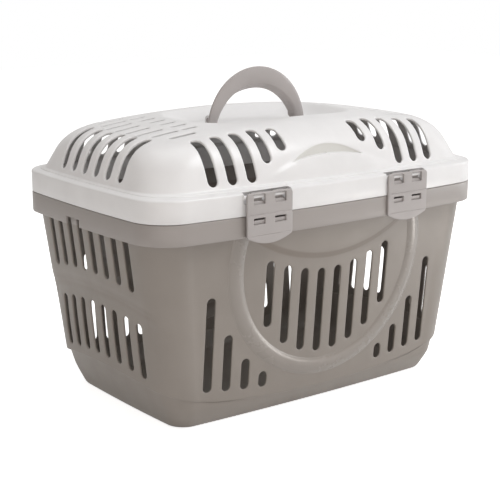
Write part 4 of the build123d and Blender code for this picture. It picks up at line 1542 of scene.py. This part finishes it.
class PETCARRIER_OT_stage(bpy.types.Operator):
    """Make the floor, the studio lights, the world and the camera"""

    bl_idname = "petcarrier.stage"
    bl_label = "Studio"

    def execute(self, context):
        self.floor()
        self.world(context.scene)
        light = sizes().light
        cool = (0.95, 0.98, 1.0)
        warm = (1.0, 0.95, 0.9)
        lamps = (
            ("key", (1.0, -1.35, 2.45), (1.2, 1.2), 32, cool),
            ("bounce", (-1.3, -1.7, 0.16), (2.6, 0.28), 9.5, warm),
            ("top", (0.1, 0.2, 2.4), (1.6, 1.6), 13, cool),
            ("strip", (2.3, -0.95, 0.5), (1.1, 0.5), 15, cool),
        )
        for name, place, size, energy, colour in lamps:
            self.lamp(name, place, size, energy * light, colour)
        gleam = self.lamp("gleam", (0.475, -0.468, 0.045), (0.24, 0.05), 0.34 * light, warm)
        gleam.visible_diffuse = False
        self.camera(context.scene)
        context.scene.view_settings.view_transform = "Standard"
        return {"FINISHED"}

    def seen(self, shader):
        """1 for what the camera sees, half for what gloss mirrors and 0 for other light."""
        names = ("Is Camera Ray", "Is Glossy Ray")
        camera, glossy = shader.outputs("ShaderNodeLightPath", names)
        return camera + glossy * 0.5

    def floor(self):
        mesher = Mesher()
        far = 4000
        low = -0.4
        mesher.cap(mesher.add([(-far, -far, low), (far, -far, low), (far, far, low), (-far, far, low)]))
        floor = mesher.object("studio_floor")
        shader = Nodes(bpy.data.materials.new("studio_floor"))
        cover = shader.node("ShaderNodeBsdfDiffuse", None, {"Color": (0.86, 0.86, 0.86, 1)})
        glow = shader.node("ShaderNodeEmission", None, {"Color": (1, 1, 1, 1), "Strength": 0.8})
        both = shader.node("ShaderNodeAddShader", None, [cover, glow])
        mixed = shader.node("ShaderNodeMixShader", None, [self.seen(shader), cover, both])
        shader.node("ShaderNodeOutputMaterial", None, {"Surface": mixed})
        floor.data.materials.append(shader.owner)

    def world(self, scene):
        scene.world = bpy.data.worlds.new("studio")
        shader = Nodes(scene.world)
        lit = shader.node("ShaderNodeBackground", None, {"Color": (1, 0.95, 0.9, 1), "Strength": 0.39})
        white = shader.node("ShaderNodeBackground", None, {"Color": (1, 1, 1, 1)})
        mixed = shader.node("ShaderNodeMixShader", None, [self.seen(shader), lit, white])
        shader.node("ShaderNodeOutputWorld", None, {"Surface": mixed})

    def lamp(self, name, place, size, energy, colour):
        data = bpy.data.lights.new(name, "AREA")
        data.shape = "RECTANGLE"
        data.size, data.size_y = size
        data.energy = energy
        data.color = colour
        lamp = bpy.data.objects.new(name, data)
        lamp.location = place
        aim = Vector((0, 0, 0.17)) - lamp.location
        lamp.rotation_euler = aim.to_track_quat("-Z", "Y").to_euler()
        bpy.context.collection.objects.link(lamp)
        return lamp

    def camera(self, scene):
        data = bpy.data.cameras.new("camera")
        data.lens = CAMERA_LENS
        data.sensor_width = 36.0
        data.clip_end = 30
        camera = bpy.data.objects.new("camera", data)
        camera.location = CAMERA_PLACE
        camera.rotation_euler = (radians(90 - CAMERA_ELEVATION), 0, radians(CAMERA_AZIMUTH))
        bpy.context.collection.objects.link(camera)
        scene.camera = camera


class PetCarrierSettings(bpy.types.PropertyGroup):
    """Sizes and colours of the carrier's pieces"""

    tub_wall: bpy.props.FloatProperty(
        name="Tub wall", description="Thickness of the tub's walls", default=0.0024, unit="LENGTH")
    tub_edge: bpy.props.FloatProperty(
        name="Tub edge", description="Radius of the tub's slot edges", default=0.001, unit="LENGTH")
    ring_rise: bpy.props.FloatProperty(
        name="Ring rise", description="How far the ring stands proud of the tub", default=0.0025,
        unit="LENGTH")
    lid_wall: bpy.props.FloatProperty(
        name="Lid wall", description="Thickness of the lid's walls", default=0.0034, unit="LENGTH")
    lid_edge: bpy.props.FloatProperty(
        name="Lid edge", description="Radius of the lid's slot edges", default=0.0022, unit="LENGTH")
    crescent_depth: bpy.props.FloatProperty(
        name="Crescent depth", description="Depth of the crescent in the dome", default=0.0026, unit="LENGTH")
    tub_colour: bpy.props.FloatVectorProperty(
        name="Tub", description="Plastic of the tub", default=(0.268, 0.236, 0.210), size=3, subtype="COLOR")
    # Painted light: the skirt gets a lighter colour than the tub for the light it catches more than the
    # leaning wall below.
    skirt_lit_colour: bpy.props.FloatVectorProperty(
        name="Skirt", description="Plastic of the tub's skirt", default=(0.335, 0.303, 0.286), size=3,
        subtype="COLOR")
    # Painted shade: the darker, warmer colour painted on the brow's step and the end folds where they face
    # down.
    fold_shade_colour: bpy.props.FloatVectorProperty(
        name="Folds", description="Plastic of the brow's step and the end folds",
        default=(0.226, 0.191, 0.164), size=3, subtype="COLOR")
    lid_colour: bpy.props.FloatVectorProperty(
        name="Lid", description="Plastic of the lid", default=(0.785, 0.77, 0.77), size=3, subtype="COLOR")
    # Painted shade: the grey painted on the crescent's floor for the shade in the recess.
    crescent_shade_colour: bpy.props.FloatVectorProperty(
        name="Crescent", description="Floor of the crescent in the lid", default=(0.62, 0.605, 0.575), size=3,
        subtype="COLOR")
    fitting_colour: bpy.props.FloatVectorProperty(
        name="Fittings", description="Plastic of the handle, latches and hinges",
        default=(0.395, 0.363, 0.354), size=3, subtype="COLOR")
    light: bpy.props.FloatProperty(
        name="Light", description="Strength of the studio lamps", default=1.0, min=0.0)


class PETCARRIER_PT_panel(bpy.types.Panel):
    """Lists the carrier's settings and the operators that make its pieces"""

    bl_idname = "PETCARRIER_PT_panel"
    bl_label = "Pet Carrier"
    bl_space_type = "VIEW_3D"
    bl_region_type = "UI"
    bl_category = "Pet Carrier"

    def draw(self, context):
        layout = self.layout
        for name in PetCarrierSettings.__annotations__:
            layout.prop(sizes(), name)
        for operator in OPERATORS:
            layout.operator(operator.bl_idname)


OPERATORS = (PETCARRIER_OT_tub, PETCARRIER_OT_lid, PETCARRIER_OT_handle, PETCARRIER_OT_clips,
             PETCARRIER_OT_stage)
CLASSES = (PetCarrierSettings, *OPERATORS, PETCARRIER_PT_panel)


def register():
    for item in CLASSES:
        bpy.utils.register_class(item)
    bpy.types.Scene.pet_carrier = bpy.props.PointerProperty(type=PetCarrierSettings)


def unregister():
    del bpy.types.Scene.pet_carrier
    for item in reversed(CLASSES):
        bpy.utils.unregister_class(item)


def main():
    register()
    bpy.ops.petcarrier.tub()
    bpy.ops.petcarrier.lid()
    bpy.ops.petcarrier.handle()
    bpy.ops.petcarrier.clips()
    bpy.ops.petcarrier.stage()


if __name__ == "__main__":
    main()
